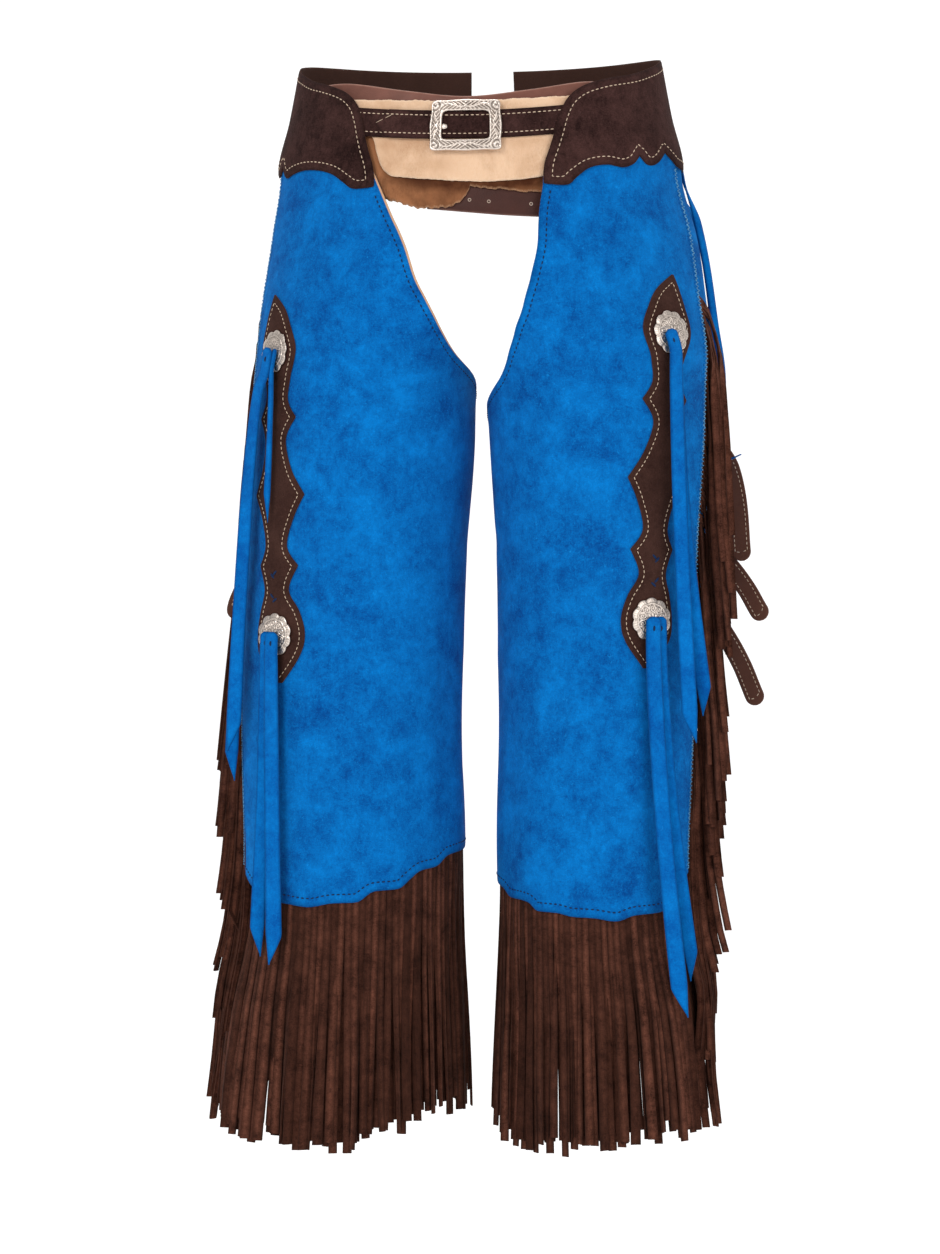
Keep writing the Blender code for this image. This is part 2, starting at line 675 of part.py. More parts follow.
def frame_at(side, angle, drop, out):
    """Centre, outward and sideways directions at a place on the form, in metres."""
    centre = on_form(side, angle, drop, out)
    up = on_form(side, angle, drop - CONCHO_RADIUS, out) - on_form(side, angle, drop + CONCHO_RADIUS, out)
    across = on_form(side, angle + STEP_ANGLE, drop, out) - on_form(side, angle - STEP_ANGLE, drop, out)
    outward = np.cross(across, up)
    outward = outward / np.linalg.norm(outward)
    if outward[1] > 0:
        outward = -outward
    across = np.cross(up / np.linalg.norm(up), outward)
    return centre, outward, across / np.linalg.norm(across)


def concho_frame(side, angle, drop):
    """The place of a concho's flat back, lifted until it just clears the tab under it."""
    top = SUEDE + GAP + THIN
    centre, outward, across = frame_at(side, angle, drop, top)
    turns = np.linspace(0, 2 * math.pi, 25)
    reach = np.degrees(CONCHO_RADIUS / float(level(side_name(side) + "_out", drop)))
    lift = 0.0
    for share in (0.0, 0.35, 0.7, 1.0):
        round_it = angle + reach * share * np.cos(turns)
        near = on_form(side, round_it, drop + CONCHO_RADIUS * share * np.sin(turns), top)
        lift = max(lift, float(((near - centre) @ outward).max()))
    return centre + outward * (lift + GAP / 1000), outward, across, np.cross(outward, across)


def concho(side, name, which, angle, drop):
    """A domed round plate with a scalloped rim."""
    spokes = CONCHO_SCALLOPS * 2
    centre, outward, across, up = concho_frame(side, angle, drop)
    rings = ((1.0, 0.0), (1.0, 1.2), (0.6, CONCHO_DOME))
    points = []
    for share, raised in rings:
        for i in range(spokes):
            turn = 2 * math.pi * i / spokes
            radius = CONCHO_RADIUS * share * (1.0 if i % 2 else 0.95) / 1000
            flat = across * math.cos(turn) + up * math.sin(turn)
            points.append(centre + flat * radius + outward * raised / 1000)
    faces = [tuple(range(spokes))[::-1]]
    for k in range(len(rings) - 1):
        for i in range(spokes):
            n = (i + 1) % spokes
            faces.append((k * spokes + i, k * spokes + n, (k + 1) * spokes + n, (k + 1) * spokes + i))
    faces.append(tuple((len(rings) - 1) * spokes + i for i in range(spokes)))
    add_object(f"{name}_{which}_concho", points, faces, SILVER)


def tie(row, angle, drop):
    """A flat pointed thong that comes over the concho and hangs straight down."""
    centre, outward, across, up = concho_frame(row.side, angle, drop)
    up = up * math.copysign(1.0, up[2])
    across = across * row.side * math.copysign(1.0, across[0])
    lift = CONCHO_DOME + 2 * GAP + TIE_THICK / 2 + (TIE_THICK + GAP if row.number == 1 else 0.0)
    start = centre + (outward * lift + across * row.shift + up * TIE_RISE) / 1000
    rim = CONCHO_RADIUS + TIE_RISE
    hanging = np.linspace(rim + TIE_BEND, row.length - TIE_POINT, 5)
    swing = np.array([row.side * row.out, row.back, 0.0]) / 1000
    sideways = np.array([float(row.side), 0.0, 0.0])
    centres, wide, half = [], [], []
    # Over the concho the thong follows its face, and past the rim it hangs.
    for fall in (0.0, rim, *hanging, row.length):
        t = max(0.0, (fall - rim) / (row.length - rim))
        centres.append(start - up * min(fall, rim) / 1000 + swing * t**1.5)
        centres[-1][2] -= max(0.0, fall - rim) / 1000
        wide.append(across * (1 - t) + sideways * t)
        half.append(row.width / 2000 * (TIE_TIP if fall == row.length else 1.0))
    name = f"{side_name(row.side)}_{row.concho}_tie_{row.number}"
    ribbon(name, centres, wide, half, TIE_THICK / 1000, BLUE)


def hip_laces(side, name):
    """Long thongs that come out under the yoke's top and hang beside the side fringe."""
    lift = 2 * (SUEDE + GAP) + 2 * GAP + TIE_THICK / 2
    for number, lace in enumerate(HIP_LACES, 1):
        centres, wide = [], []
        for drop in (lace.drop, lace.drop + HIP_LACE_REST):
            centres.append(on_form(side, lace.angle, drop, lift))
            ahead, behind = lace.angle + STEP_ANGLE / 2, lace.angle - STEP_ANGLE / 2
            wide.append(on_form(side, ahead, drop, lift) - on_form(side, behind, drop, lift))
        for x, y, drop in lace.stations:
            centres.append(np.array([side * x, y, -drop]) / 1000)
            wide.append(np.array([HIP_LACE_TURN * side, 1.0, 0.0]))
        half = [HIP_LACE_WIDTH / 2000] * (len(centres) - 1) + [HIP_LACE_WIDTH / 2000 * TIE_TIP]
        ribbon(f"{name}_hip_lace_{number}", centres, wide, half, TIE_THICK / 1000, BLUE)


# ---- Leg straps -----------------------------------------------------------------------------------

def leg_strap(side, name, number, row):
    """A strap sewn to the panel's inner edge, round the back of the leg, with a free end."""
    base = SUEDE + 2 * GAP
    high, low = row.drop - STRAP_WIDTH / 2, row.drop + STRAP_WIDTH / 2
    sections = []
    for angle in [STRAP_START] + list(np.arange(230.0, STRAP_LEAVE - 1, -STEP_ANGLE)):
        corners = ((high, base), (high, base + SUEDE), (low, base + SUEDE), (low, base))
        sections.append([on_form(side, angle, drop, out) for drop, out in corners])
    before = np.mean(sections[-1], axis=0)
    mid = float(level(f"{name}_mid", row.drop))
    tuck = LEFT_TAIL_TUCK if side == LEFT else 0.0
    centres = []
    for i, at in enumerate(row.tail):
        out = at.out - tuck * (i + 1) / len(row.tail)
        centres.append(np.array([side * (mid + out), at.back, -at.drop]) / 1000)
    for i, at in enumerate(row.tail):
        lean = math.radians(at.lean)
        up = np.array([side * math.sin(lean), 0.0, math.cos(lean)])
        along = centres[min(i + 1, len(centres) - 1)] - (centres[i - 1] if i else before)
        thick = np.cross(up, along) * side
        thick = thick / np.linalg.norm(thick) * SUEDE / 2000
        half = up * STRAP_WIDTH / 2000 * at.width
        sections.append([centres[i] + half - thick, centres[i] + half + thick,
                         centres[i] - half + thick, centres[i] - half - thick])
    points, faces = loft(sections)
    add_object(f"{name}_leg_strap_{number}", points, faces, BROWN)


def leg_buckle(side, name, number, row):
    """A plain square buckle frame that lies on the strap."""
    base = 2 * SUEDE + 4 * GAP
    wire = 3.0
    outer = (9.0, STRAP_WIDTH / 2 + 5.0)
    inner = (outer[0] - wire - 1.0, outer[1] - wire)
    radius = float(level("back", row.drop))
    points = []
    for wide, high, raised in ((*outer, 0.0), (*outer, wire), (*inner, wire), (*inner, 0.0)):
        for x, y in ((-1, -1), (1, -1), (1, 1), (-1, 1)):
            angle = LEG_BUCKLE_ANGLE + math.degrees(x * wide / radius)
            points.append(on_form(side, angle, row.drop + y * high, base + raised))
    faces = []
    for k in range(4):
        for i in range(4):
            j, n = (k + 1) % 4, (i + 1) % 4
            faces.append((4 * k + i, 4 * k + n, 4 * j + n, 4 * j + i))
    add_object(f"{name}_leg_buckle_{number}", points, faces, STEEL)


# ---- Fringe ---------------------------------------------------------------------------------------

class Strip:
    """A fringe: a narrow strip whose one edge runs on into strands, all one closed body."""

    def __init__(self):
        self.points = []
        self.faces = []

    def ring(self, corners):
        """Four corners of a section; returns their numbers."""
        first = len(self.points)
        self.points.extend(corners)
        return [first + k for k in range(4)]

    def join(self, a, b, sides=range(4)):
        for k in sides:
            j = (k + 1) % 4
            self.faces.append((a[k], a[j], b[j], b[k]))

    def strand(self, root, sections):
        """Carries the root's four corners through the sections to a closed tip."""
        last = root
        for corners in sections:
            here = self.ring(corners)
            self.join(last, here)
            last = here
        self.faces.append(tuple(last))

    def finish(self, name):
        add_object(name, self.points, self.faces, FRINGE)


def hem_depth(angle):
    """How far out the hem strip's outer face lies: inside the panel, then inside the wing."""
    return -2 * GAP - HEM_STRIP_DEEP * blend(angle, *HEM_STRIP_TURNS_IN)


def hem_fringe(side, name):
    """The strip inside the hem, cut into strands that part from its lower edge."""
    chance = random.Random(11 + side)
    first, last = HEM[0].angle + 1.0, HEM[-1].angle - 1.0
    pitch = (last - first) / HEM_STRANDS
    strip = Strip()
    rings = []
    for angle in np.linspace(first, last, HEM_STRANDS + 1):
        edge = float(hem(side, angle))
        out = float(hem_depth(angle))
        top, bottom = edge - HEM_STRIP[0], edge - HEM_STRIP[1]
        corners = ((top, out), (bottom, out), (bottom, out - THIN), (top, out - THIN))
        rings.append(strip.ring([on_form(side, angle, d, o) for d, o in corners]))
    strip.faces += [tuple(rings[0]), tuple(rings[-1])]
    for i in range(HEM_STRANDS):
        strip.join(rings[i], rings[i + 1], (0, 2, 3))
        middle = first + pitch * (i + 0.5)
        tip = float(hem_tips(side, middle)) + chance.uniform(-13, 7)
        out = float(hem_depth(middle)) + chance.uniform(-1.2, 2.4)
        middle += chance.uniform(-0.1, 0.1) * pitch
        half = pitch * HEM_TIP_SHARE / 2
        # In the order of the strip's bottom corners: outer start, inner start, inner end, outer end.
        spots = ((-half, out), (-half, out - THIN), (half, out - THIN), (half, out))
        root = [rings[i][1], rings[i][2], rings[i + 1][2], rings[i + 1][1]]
        strip.strand(root, [[on_form(side, middle + a, tip, o) for a, o in spots]])
    strip.finish(f"{name}_hem_fringe")


def wing_face(angle):
    """How far out the back wing's outer face lies."""
    return float(wing_base(angle)) + SUEDE


def side_strand(side, drop, lane, chance):
    """Sections of one side strand: back under the others to its lane, a turn, and down."""
    arc = math.radians(1.0) * float(level(side_name(side) + "_out", drop))
    half_wide = SIDE_STRAND_WIDTH / 2
    length = SIDE_LENGTH + chance.uniform(-24, 22)
    fade = 1.0 - 0.45 * float(blend(drop, 380, 700))
    lean = SIDE_LEAN[side] * fade * chance.uniform(0.92, 1.08)
    low = GAP + THIN / 2
    high = low + THIN + GAP
    slope = 0.22 * arc
    start = SIDE_STRIP[1]
    # Each station: angle, drop, height over the wing, turn of the width, and share of the width.
    stations = [(line, drop + slope * (line - start), low, 8.0, 1.0) for line in (80.0, 90.0) if line < lane]
    fall = drop + slope * (lane - start)
    stations.append((lane - 0.2, fall + 3.0, low + 1.0, 50.0, 0.8))
    stations.append((lane, fall + 10.0, high + 0.5, 86.0, 0.95))
    hang = high + 0.5 + lean * length
    stations.append((lane, fall + 10.0 + length, hang, 90.0, 0.72))
    sections = []
    for angle, at, out, turned, narrow in stations:
        turn = math.radians(turned)
        da = half_wide * narrow * math.sin(turn) / arc
        dd = half_wide * narrow * math.cos(turn)
        # The root's corners run outer top, inner top, inner bottom, outer bottom.
        spots = ((da, -dd, THIN / 2), (da, -dd, -THIN / 2), (-da, dd, -THIN / 2), (-da, dd, THIN / 2))
        sections.append([on_form(side, angle + a, at + d, wing_face(angle + a) + out + o) for a, d, o in spots])
    return sections


def side_fringe(side, name):
    chance = random.Random(31 + side)
    strip = Strip()
    start, end = SIDE_STRIP
    seam_end = float(hem(side, SEAM_ANGLE)) - 12.0
    pitch = (seam_end - SIDE_TOP) / SIDE_STRANDS
    outer, inner = -GAP, -GAP - THIN
    before = None
    for i in range(SIDE_STRANDS):
        drop = SIDE_TOP + pitch * (i + 0.5)
        pair = []
        for edge in (drop - SIDE_STRAND_WIDTH / 2, drop + SIDE_STRAND_WIDTH / 2):
            corners = [(start, outer), (end, outer), (end, inner), (start, inner)]
            pair.append(strip.ring([on_form(side, a, edge, o) for a, o in corners]))
        if before is None:
            strip.faces.append(tuple(pair[0]))
        else:
            strip.join(before, pair[0])
        strip.join(pair[0], pair[1], (0, 2, 3))
        root = [pair[0][1], pair[0][2], pair[1][2], pair[1][1]]
        strip.strand(root, side_strand(side, drop, SIDE_LANES[(i * 3) % len(SIDE_LANES)], chance))
        before = pair[1]
    strip.faces.append(tuple(before))
    strip.finish(f"{name}_side_fringe")


def welt(side, name):
    """The narrow strip that fills the seam above the fringe, up under the yoke."""
    outline = [(SIDE_STRIP[0] + 4.0, PANEL_TOP_DROP + 4.0), (SIDE_STRIP[0], SIDE_TOP - GAP),
               (SIDE_STRIP[1], SIDE_TOP - GAP), (SIDE_STRIP[1] + 3.0, PANEL_TOP_DROP + 4.0)]
    cut_piece(f"{name}_welt", outline, laid_on(side, -GAP - THIN, THIN), FRINGE)


# ---- The whole garment ------------------------------------------------------------------------------

def clear_scene():
    for old in list(bpy.data.objects):
        bpy.data.objects.remove(old, do_unlink=True)


def main():
    clear_scene()
    belt()
    buckle()
    flaps_and_band()
    back_strap()
    for side, name in SIDES:
        leg_panel(side, name)
        back_wing(side, name)
        yoke(side, name)
        tab(side, name)
        for row in CONCHOS:
            concho(side, name, row.name, row.angle, row.drop + TAB_LOWER[side])
        hip_laces(side, name)
        for number, row in enumerate(LEG_STRAPS, 1):
            leg_strap(side, name, number, row)
            leg_buckle(side, name, number, row)
        hem_fringe(side, name)
        side_fringe(side, name)
        welt(side, name)
    for row in TIES:
        place = next(c for c in CONCHOS if c.name == row.concho)
        tie(row, place.angle, place.drop + TAB_LOWER[row.side])


main()
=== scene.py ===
"""Looks of a pair of long fringed riding chaps in blue suede.

Every leather piece is a thin shell laid over one worn form. A place on the form has two measures, an
angle round the leg in degrees (0 straight ahead, growing outward) and a drop below the waist in
millimetres, so that pieces lying on each other share the same curves and creases. Shapes are worked
out in millimetres as whole numpy arrays, and turned to metres when they go into a mesh.
"""

import json
import logging
import math
from dataclasses import dataclass
from enum import Enum
from typing import Callable, NamedTuple, Sequence

import bpy
import mathutils
import numpy as np
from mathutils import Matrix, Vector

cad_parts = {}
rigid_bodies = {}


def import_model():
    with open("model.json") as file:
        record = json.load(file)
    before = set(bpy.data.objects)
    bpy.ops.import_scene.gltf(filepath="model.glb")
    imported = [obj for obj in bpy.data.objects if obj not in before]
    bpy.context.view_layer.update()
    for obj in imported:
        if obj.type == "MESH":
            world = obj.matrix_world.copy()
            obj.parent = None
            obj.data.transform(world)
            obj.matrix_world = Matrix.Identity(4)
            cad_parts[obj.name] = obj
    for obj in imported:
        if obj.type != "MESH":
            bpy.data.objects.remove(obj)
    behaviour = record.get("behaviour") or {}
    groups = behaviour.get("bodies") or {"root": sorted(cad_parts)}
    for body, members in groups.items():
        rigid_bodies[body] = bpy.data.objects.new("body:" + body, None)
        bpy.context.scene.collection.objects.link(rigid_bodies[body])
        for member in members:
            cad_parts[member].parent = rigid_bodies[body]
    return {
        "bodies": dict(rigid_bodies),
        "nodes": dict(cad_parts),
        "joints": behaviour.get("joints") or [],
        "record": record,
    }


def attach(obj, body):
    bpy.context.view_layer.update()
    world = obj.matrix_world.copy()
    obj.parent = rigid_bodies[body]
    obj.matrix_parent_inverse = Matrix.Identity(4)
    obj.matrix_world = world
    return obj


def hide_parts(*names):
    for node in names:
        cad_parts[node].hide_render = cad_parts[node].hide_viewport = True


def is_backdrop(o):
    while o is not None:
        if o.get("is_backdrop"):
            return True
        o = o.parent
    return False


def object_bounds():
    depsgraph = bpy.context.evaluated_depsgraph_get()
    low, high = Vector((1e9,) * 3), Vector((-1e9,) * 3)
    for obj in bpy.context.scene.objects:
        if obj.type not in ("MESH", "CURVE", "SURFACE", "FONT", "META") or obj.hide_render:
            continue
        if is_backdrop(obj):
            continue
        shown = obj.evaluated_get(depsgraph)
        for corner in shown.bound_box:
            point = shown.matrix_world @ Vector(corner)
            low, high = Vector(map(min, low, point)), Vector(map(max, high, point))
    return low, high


LOG = logging.getLogger("chaps")
Array = np.ndarray
Object = bpy.types.Object
Socket = bpy.types.NodeSocket
Row = tuple[Array, Array]
Placer = Callable[[Array, Array, Array], Array]
Colour = tuple[float, float, float]

# A millimetre in metres. The rest is in millimetres: the gap between layers, and the thicknesses.
MM = 0.001
GAP = 0.3
SUEDE = 2.0
THIN = 1.6
LAYER = SUEDE + GAP
BODY = "root"


class Side(Enum):
    """The leg at -X or at +X, with the sign of X that it lies on."""

    LEFT = -1
    RIGHT = 1

    @property
    def label(self) -> str:
        """The word that starts the names of this side's pieces."""
        return self.name.lower()


class Section(Enum):
    """Which closed curve a piece lies on: the leg's own, or the waist's carried on downward."""

    LEG = "leg"
    WAIST = "waist"


# ---- Curves


def curve_through(value: Array, xs: Sequence[float], ys: Sequence[float]) -> Array:
    """A smooth curve through a table's points that doesn't overshoot them.

    Between two points it is a cubic whose slope at each point is the harmonic mean of the slopes
    on both sides, or level where they differ in sign.

    Args:
        value: where to read the curve.
        xs: the table's places, rising.
        ys: the table's heights.

    Returns:
        The curve's heights, in the shape of value.
    """
    x, y = np.asarray(xs, float), np.asarray(ys, float)
    span = np.diff(x)
    slope = np.diff(y) / span
    tangent = np.concatenate([slope[:1], np.zeros(len(x) - 2), slope[-1:]])
    same = slope[:-1] * slope[1:] > 0
    total = np.where(same, slope[:-1] + slope[1:], 1.0)
    tangent[1:-1] = np.where(same, 2 * slope[:-1] * slope[1:] / total, 0.0)
    value = np.clip(np.asarray(value, float), x[0], x[-1])
    i = np.clip(np.searchsorted(x, value, side="right") - 1, 0, len(span) - 1)
    t = (value - x[i]) / span[i]
    start = (2 * t**3 - 3 * t**2 + 1) * y[i] + (t**3 - 2 * t**2 + t) * span[i] * tangent[i]
    end = (3 * t**2 - 2 * t**3) * y[i + 1] + (t**3 - t**2) * span[i] * tangent[i + 1]
    return start + end


def rise(value: Array, start: float, end: float) -> Array:
    """0 before start, 1 after end, and the soft step 3t^2 - 2t^3 between them."""
    t = np.clip((np.asarray(value, float) - start) / (end - start), 0.0, 1.0)
    return t * t * (3 - 2 * t)


def bell(value: Array, middle: float, width: float) -> Array:
    """1 at the middle, and e to the minus square of the distance over the width around it."""
    return np.exp(-(((value - middle) / width) ** 2))


def wave(turn: Array) -> Array:
    """A cosine between 0 and 1."""
    return 0.5 + 0.5 * np.cos(turn)


def full_turn(count: int) -> Array:
    """Evenly spaced angles once round, without the one that would repeat the first."""
    return np.linspace(0, 2 * math.pi, count, endpoint=False)


def unit(vectors: Array) -> Array:
    """The vectors at length 1."""
    return vectors / np.maximum(np.linalg.norm(vectors, axis=-1, keepdims=True), 1e-9)


def close_at_ends(count: int, pull: float = 0.8) -> Array:
    """Values from 0 to 1, closer together at both ends: an even step mixed with a soft step."""
    t = np.linspace(0.0, 1.0, count)
    return (1 - pull) * t + pull * (3 * t**2 - 2 * t**3)


def lengths_along(points: Array) -> Array:
    """The length from the first point to each point of a path."""
    return np.concatenate([[0.0], np.cumsum(np.linalg.norm(np.diff(points, axis=0), axis=1))])


def read_along(at: Array, places: Array, points: Array) -> Array:
    """The points' coordinates at other places along their path, straight between two points."""
    return np.stack([np.interp(at, places, points[:, k]) for k in range(points.shape[1])], -1)


def resampled(points: Array, count: int) -> Array:
    """A path's points again, evenly spaced along its length."""
    at = lengths_along(points)
    return read_along(np.linspace(0.0, at[-1], count), at, points)


def smooth_path(points: Array, count: int) -> Array:
    """A smooth path through the points, each coordinate a curve over the length so far.

    Args:
        points: the points to go through.
        count: how many points to return.

    Returns:
        The path, evenly spaced in that length.
    """
    at = lengths_along(points)
    even = np.linspace(0.0, at[-1], count)
    return np.stack([curve_through(even, at, points[:, k]) for k in range(points.shape[1])], 1)


def ruled(first: Array, second: Array, along: Array, across: Array) -> Array:
    """Places on straight rulings between two lines that have the same number of points.

    Args:
        first: the line at which across is 0, as angle and drop.
        second: the line at which it is 1.
        along: shares of the way down both lines.
        across: shares of the way from the first to the second.

    Returns:
        The places' angles, and their drops.
    """
    low, high = (read_along(along * (len(line) - 1), np.arange(len(line)), line) for line in (first, second))
    return np.moveaxis(low + across[..., None] * (high - low), -1, 0)


def wander(value: Array, seed: float, length: float) -> Array:
    """An uneven wave between about -1 and 1: three sines whose lengths don't fit each other.

    Args:
        value: where to read it.
        seed: shifts the three sines.
        length: the longest sine's length.

    Returns:
        The wave at each value.
    """
    turn = 2 * math.pi * np.asarray(value, float) / length
    second, third = np.sin(2.37 * turn + 2.1 * seed), np.sin(5.13 * turn + 3.3 * seed)
    return (np.sin(turn + seed) + 0.6 * second + 0.4 * third) / 2


class Corner(NamedTuple):
    """A corner of a cut line: angle, drop, and whether it stays sharp."""

    angle: float
    drop: float
    sharp: bool = False


def rounded_line(corners: Sequence[Corner], per_span: int = 24) -> Array:
    """A cut line through its corners, curved everywhere but at the sharp ones.

    Each span is a Catmull-Rom cubic of four neighbouring corners, and a sharp corner stands in for
    its own missing neighbour.

    Args:
        corners: the line's corners in order.
        per_span: points made for each span.

    Returns:
        The points, as angle and drop.
    """
    p = np.array([(c.angle, c.drop) for c in corners], float)
    sharp = np.array([c.sharp for c in corners])
    first, last = p[:-1], p[1:]
    before = np.where(sharp[:-1, None], first, np.concatenate([p[:1], p[:-2]]))
    after = np.where(sharp[1:, None], last, np.concatenate([p[2:], p[-1:]]))
    t = (np.arange(per_span) / per_span)[None, :, None]
    a, b, c, d = (q[:, None, :] for q in (before, first, last, after))
    square, cube = 2 * a - 5 * b + 4 * c - d, 3 * b - a - 3 * c + d
    body = 0.5 * (2 * b + (c - a) * t + square * t**2 + cube * t**3)
    return np.concatenate([body.reshape(-1, 2), p[-1:]])


def cut_line(*rows: tuple[float, ...]) -> tuple[Corner, ...]:
    """A cut line's corners, from rows of angle, drop and, at a sharp one, True."""
    return tuple(Corner(*row) for row in rows)


# ---- The worn form


class Level(NamedTuple):
    """One level of the form: each leg's middle and half widths, and the depths before and behind."""

    drop: float
    left_mid: float
    left_out: float
    left_in: float
    right_mid: float
    right_out: float
    right_in: float
    front: float
    back: float


class Crease(NamedTuple):
    """A soft ridge or trough: where its middle is, half its length and width, its lean and height."""

    angle: float
    drop: float
    length: float
    width: float
    lean: float
    height: float


LEVELS = (
    Level(-70, 0, 163, 163, 0, 163, 163, 98, 98),
    Level(0, 0, 176, 176, 0, 176, 176, 110, 110),
    Level(50, 0, 187, 187, 0, 187, 187, 116, 116),
    Level(110, 30, 165, 168, 30, 171, 174, 118, 120),
    Level(170, 72, 132, 126, 74, 136, 128, 116, 119),
    Level(236, 107, 104, 102, 111, 106, 106, 110, 113),
    Level(310, 112, 104, 104, 113, 101, 101, 104, 108),
    Level(404, 118, 103, 103, 113, 95, 95, 98, 103),
    Level(545, 122, 102, 102, 113, 91, 91, 94, 98),
    Level(690, 119, 103, 103, 109, 90, 90, 92, 94),
    Level(750, 120, 105, 103, 110, 92, 91, 93, 95),
    Level(840, 123, 119, 107, 113, 108, 94, 95, 97),
    Level(1000, 127, 136, 116, 117, 124, 102, 98, 100),
)

CREASES = (
    Crease(8, 150, 95, 13, 24, -1.5),
    Crease(-12, 215, 60, 11, 52, 1.6),
    Crease(12, 268, 85, 13, 38, -1.3),
    Crease(-40, 318, 70, 13, 58, 1.7),
    Crease(-16, 372, 95, 16, 34, -1.5),
    Crease(26, 400, 150, 17, 4, 1.2),
    Crease(-52, 430, 70, 13, 66, -1.4),
    Crease(4, 478, 62, 13, -72, -1.2),
    Crease(10, 512, 58, 12, -62, 1.3),
    Crease(-44, 520, 60, 12, 74, 1.2),
    Crease(6, 620, 150, 18, 5, -1.4),
    Crease(-26, 600, 130, 17, -4, 1.5),
    Crease(-62, 610, 150, 16, 2, -1.5),
    Crease(-84, 560, 140, 15, 6, 1.8),
    Crease(-106, 500, 130, 15, 9, -1.9),
    Crease(-130, 440, 90, 14, -26, 1.7),
    Crease(62, 330, 110, 15, -8, -1.1),
    Crease(66, 620, 130, 15, 3, 1.2),
    Crease(104, 330, 110, 14, -12, 1.7),
    Crease(98, 540, 140, 15, 4, -1.3),
    Crease(128, 470, 120, 14, -10, 1.6),
    Crease(138, 620, 110, 14, 3, -1.4),
)


@dataclass(frozen=True)
class WornForm:
    """The surface that every piece lies on, with the wearer's shape and the leather's creases."""

    levels: tuple[Level, ...] = LEVELS
    creases: tuple[Crease, ...] = CREASES
    waist_drops: tuple[float, ...] = (-70, 0, 50, 120)
    waist_halves: tuple[float, ...] = (163, 176, 187, 194)
    mm_per_degree: float = 1.8
    crease_starts: tuple[float, float] = (70.0, 150.0)
    crease_ends: tuple[float, float] = (690.0, 800.0)

    def measure(self, name: str, drop: Array) -> Array:
        """One column of the levels, as a smooth curve over the drop."""
        return curve_through(drop, *zip(*((row.drop, getattr(row, name)) for row in self.levels)))

    def fold(self, side: Side, angle: Array, drop: Array) -> Array:
        """How far the creases move the leather out.

        Each crease is its height times a bell curve along its length and another across it, on
        axes turned by its lean. The other leg's creases stand a little apart.

        Args:
            side: the leg.
            angle: places round the leg.
            drop: places down the leg.

        Returns:
            Millimetres out, negative in a trough.
        """
        shift = 7.0 if side is Side.RIGHT else 0.0
        total = np.zeros(np.broadcast(angle, drop).shape)
        for number, row in enumerate(self.creases):
            arc = (angle - row.angle + shift * math.cos(number * 2.3)) * self.mm_per_degree
            down = drop - row.drop - 2.4 * shift * math.sin(number * 1.7)
            lean = math.radians(row.lean)
            along = down * math.cos(lean) + arc * math.sin(lean)
            across = arc * math.cos(lean) - down * math.sin(lean)
            total = total + row.height * np.exp(-((along / row.length) ** 2) - (across / row.width) ** 2)
        total = total + 0.35 * np.sin(drop / 31.0 + angle / 17.0) * np.sin(angle / 11.0 - drop / 83.0)
        return total * rise(drop, *self.crease_starts) * (1 - rise(drop, *self.crease_ends))

    def surface(self, side: Side, angle: Array, drop: Array, section: Section) -> tuple[Array, Array]:
        """Points of the form and its outward directions.

        A level's curve is made of four quarter ellipses about the leg's middle: x is the half width
        times the angle's sine and y the depth times its cosine. The direction is the ellipse's own.

        Args:
            side: the leg.
            angle: places round the leg.
            drop: places down the leg.
            section: the leg's curve or the waist's.

        Returns:
            Points and unit directions.
        """
        turn = np.radians(angle)
        sine, cosine = np.sin(turn), np.cos(turn)
        if section is Section.WAIST:
            half = curve_through(drop, self.waist_drops, self.waist_halves)
            depth, middle = self.measure("front", drop), 0.0
        else:
            out, near, middle = (self.measure(f"{side.label}_{end}", drop) for end in ("out", "in", "mid"))
            half = np.where(sine >= 0, out, near)
            depth = np.where(cosine >= 0, self.measure("front", drop), self.measure("back", drop))
        across, along = sine / half, -cosine / depth
        size = np.hypot(across, along)
        points = np.stack([side.value * (middle + half * sine), -depth * cosine, -drop], -1)
        return points, np.stack([side.value * across / size, along / size, 0 * drop], -1)

    def place(self, side: Side, angle: Array, drop: Array, out: Array,
              section: Section = Section.LEG) -> Array:
        """Points of the form moved out, with the creases on a leg.

        Args:
            side: the leg.
            angle: places round the leg.
            drop: places down the leg.
            out: millimetres out from the form.
            section: the leg's curve or the waist's.

        Returns:
            The points, in millimetres.
        """
        angle, drop, out = np.broadcast_arrays(*(np.asarray(a, float) for a in (angle, drop, out)))
        points, outward = self.surface(side, angle, drop, section)
        if section is Section.LEG:
            out = out + self.fold(side, angle, drop)
        return points + outward * out[..., None]

    def outward(self, side: Side, angle: Array, drop: Array, section: Section = Section.LEG) -> Array:
        """The form's outward directions."""
        angle, drop = np.broadcast_arrays(np.asarray(angle, float), np.asarray(drop, float))
        return self.surface(side, angle, drop, section)[1]

    def row(self, side: Side, angle: Array, drop: Array, out: Array, section: Section = Section.LEG) -> Row:
        """Points of the form moved out, and its outward directions there."""
        return self.place(side, angle, drop, out, section), self.outward(side, angle, drop, section)

    def around(self, side: Side, angle: Array, drop: Array, out: Array, reach: float = 0.5,
               section: Section = Section.LEG) -> Array:
        """The way round the form, from reach degrees before each place to as many after it."""
        return (self.place(side, angle + reach, drop, out, section)
                - self.place(side, angle - reach, drop, out, section))

    def arc_table(self, side: Side, drop: float, section: Section) -> Row:
        """Angles round the form and the length round it to each, at one drop.

        Args:
            side: the leg.
            drop: millimetres below the waist.
            section: the leg's curve or the waist's.

        Returns:
            The angles and the lengths.
        """
        angles = np.linspace(-180.0, 200.0, 761)
        points, _ = self.surface(side, angles, np.full_like(angles, drop), section)
        return angles, lengths_along(points)


FORM = WornForm()


# ---- Meshes


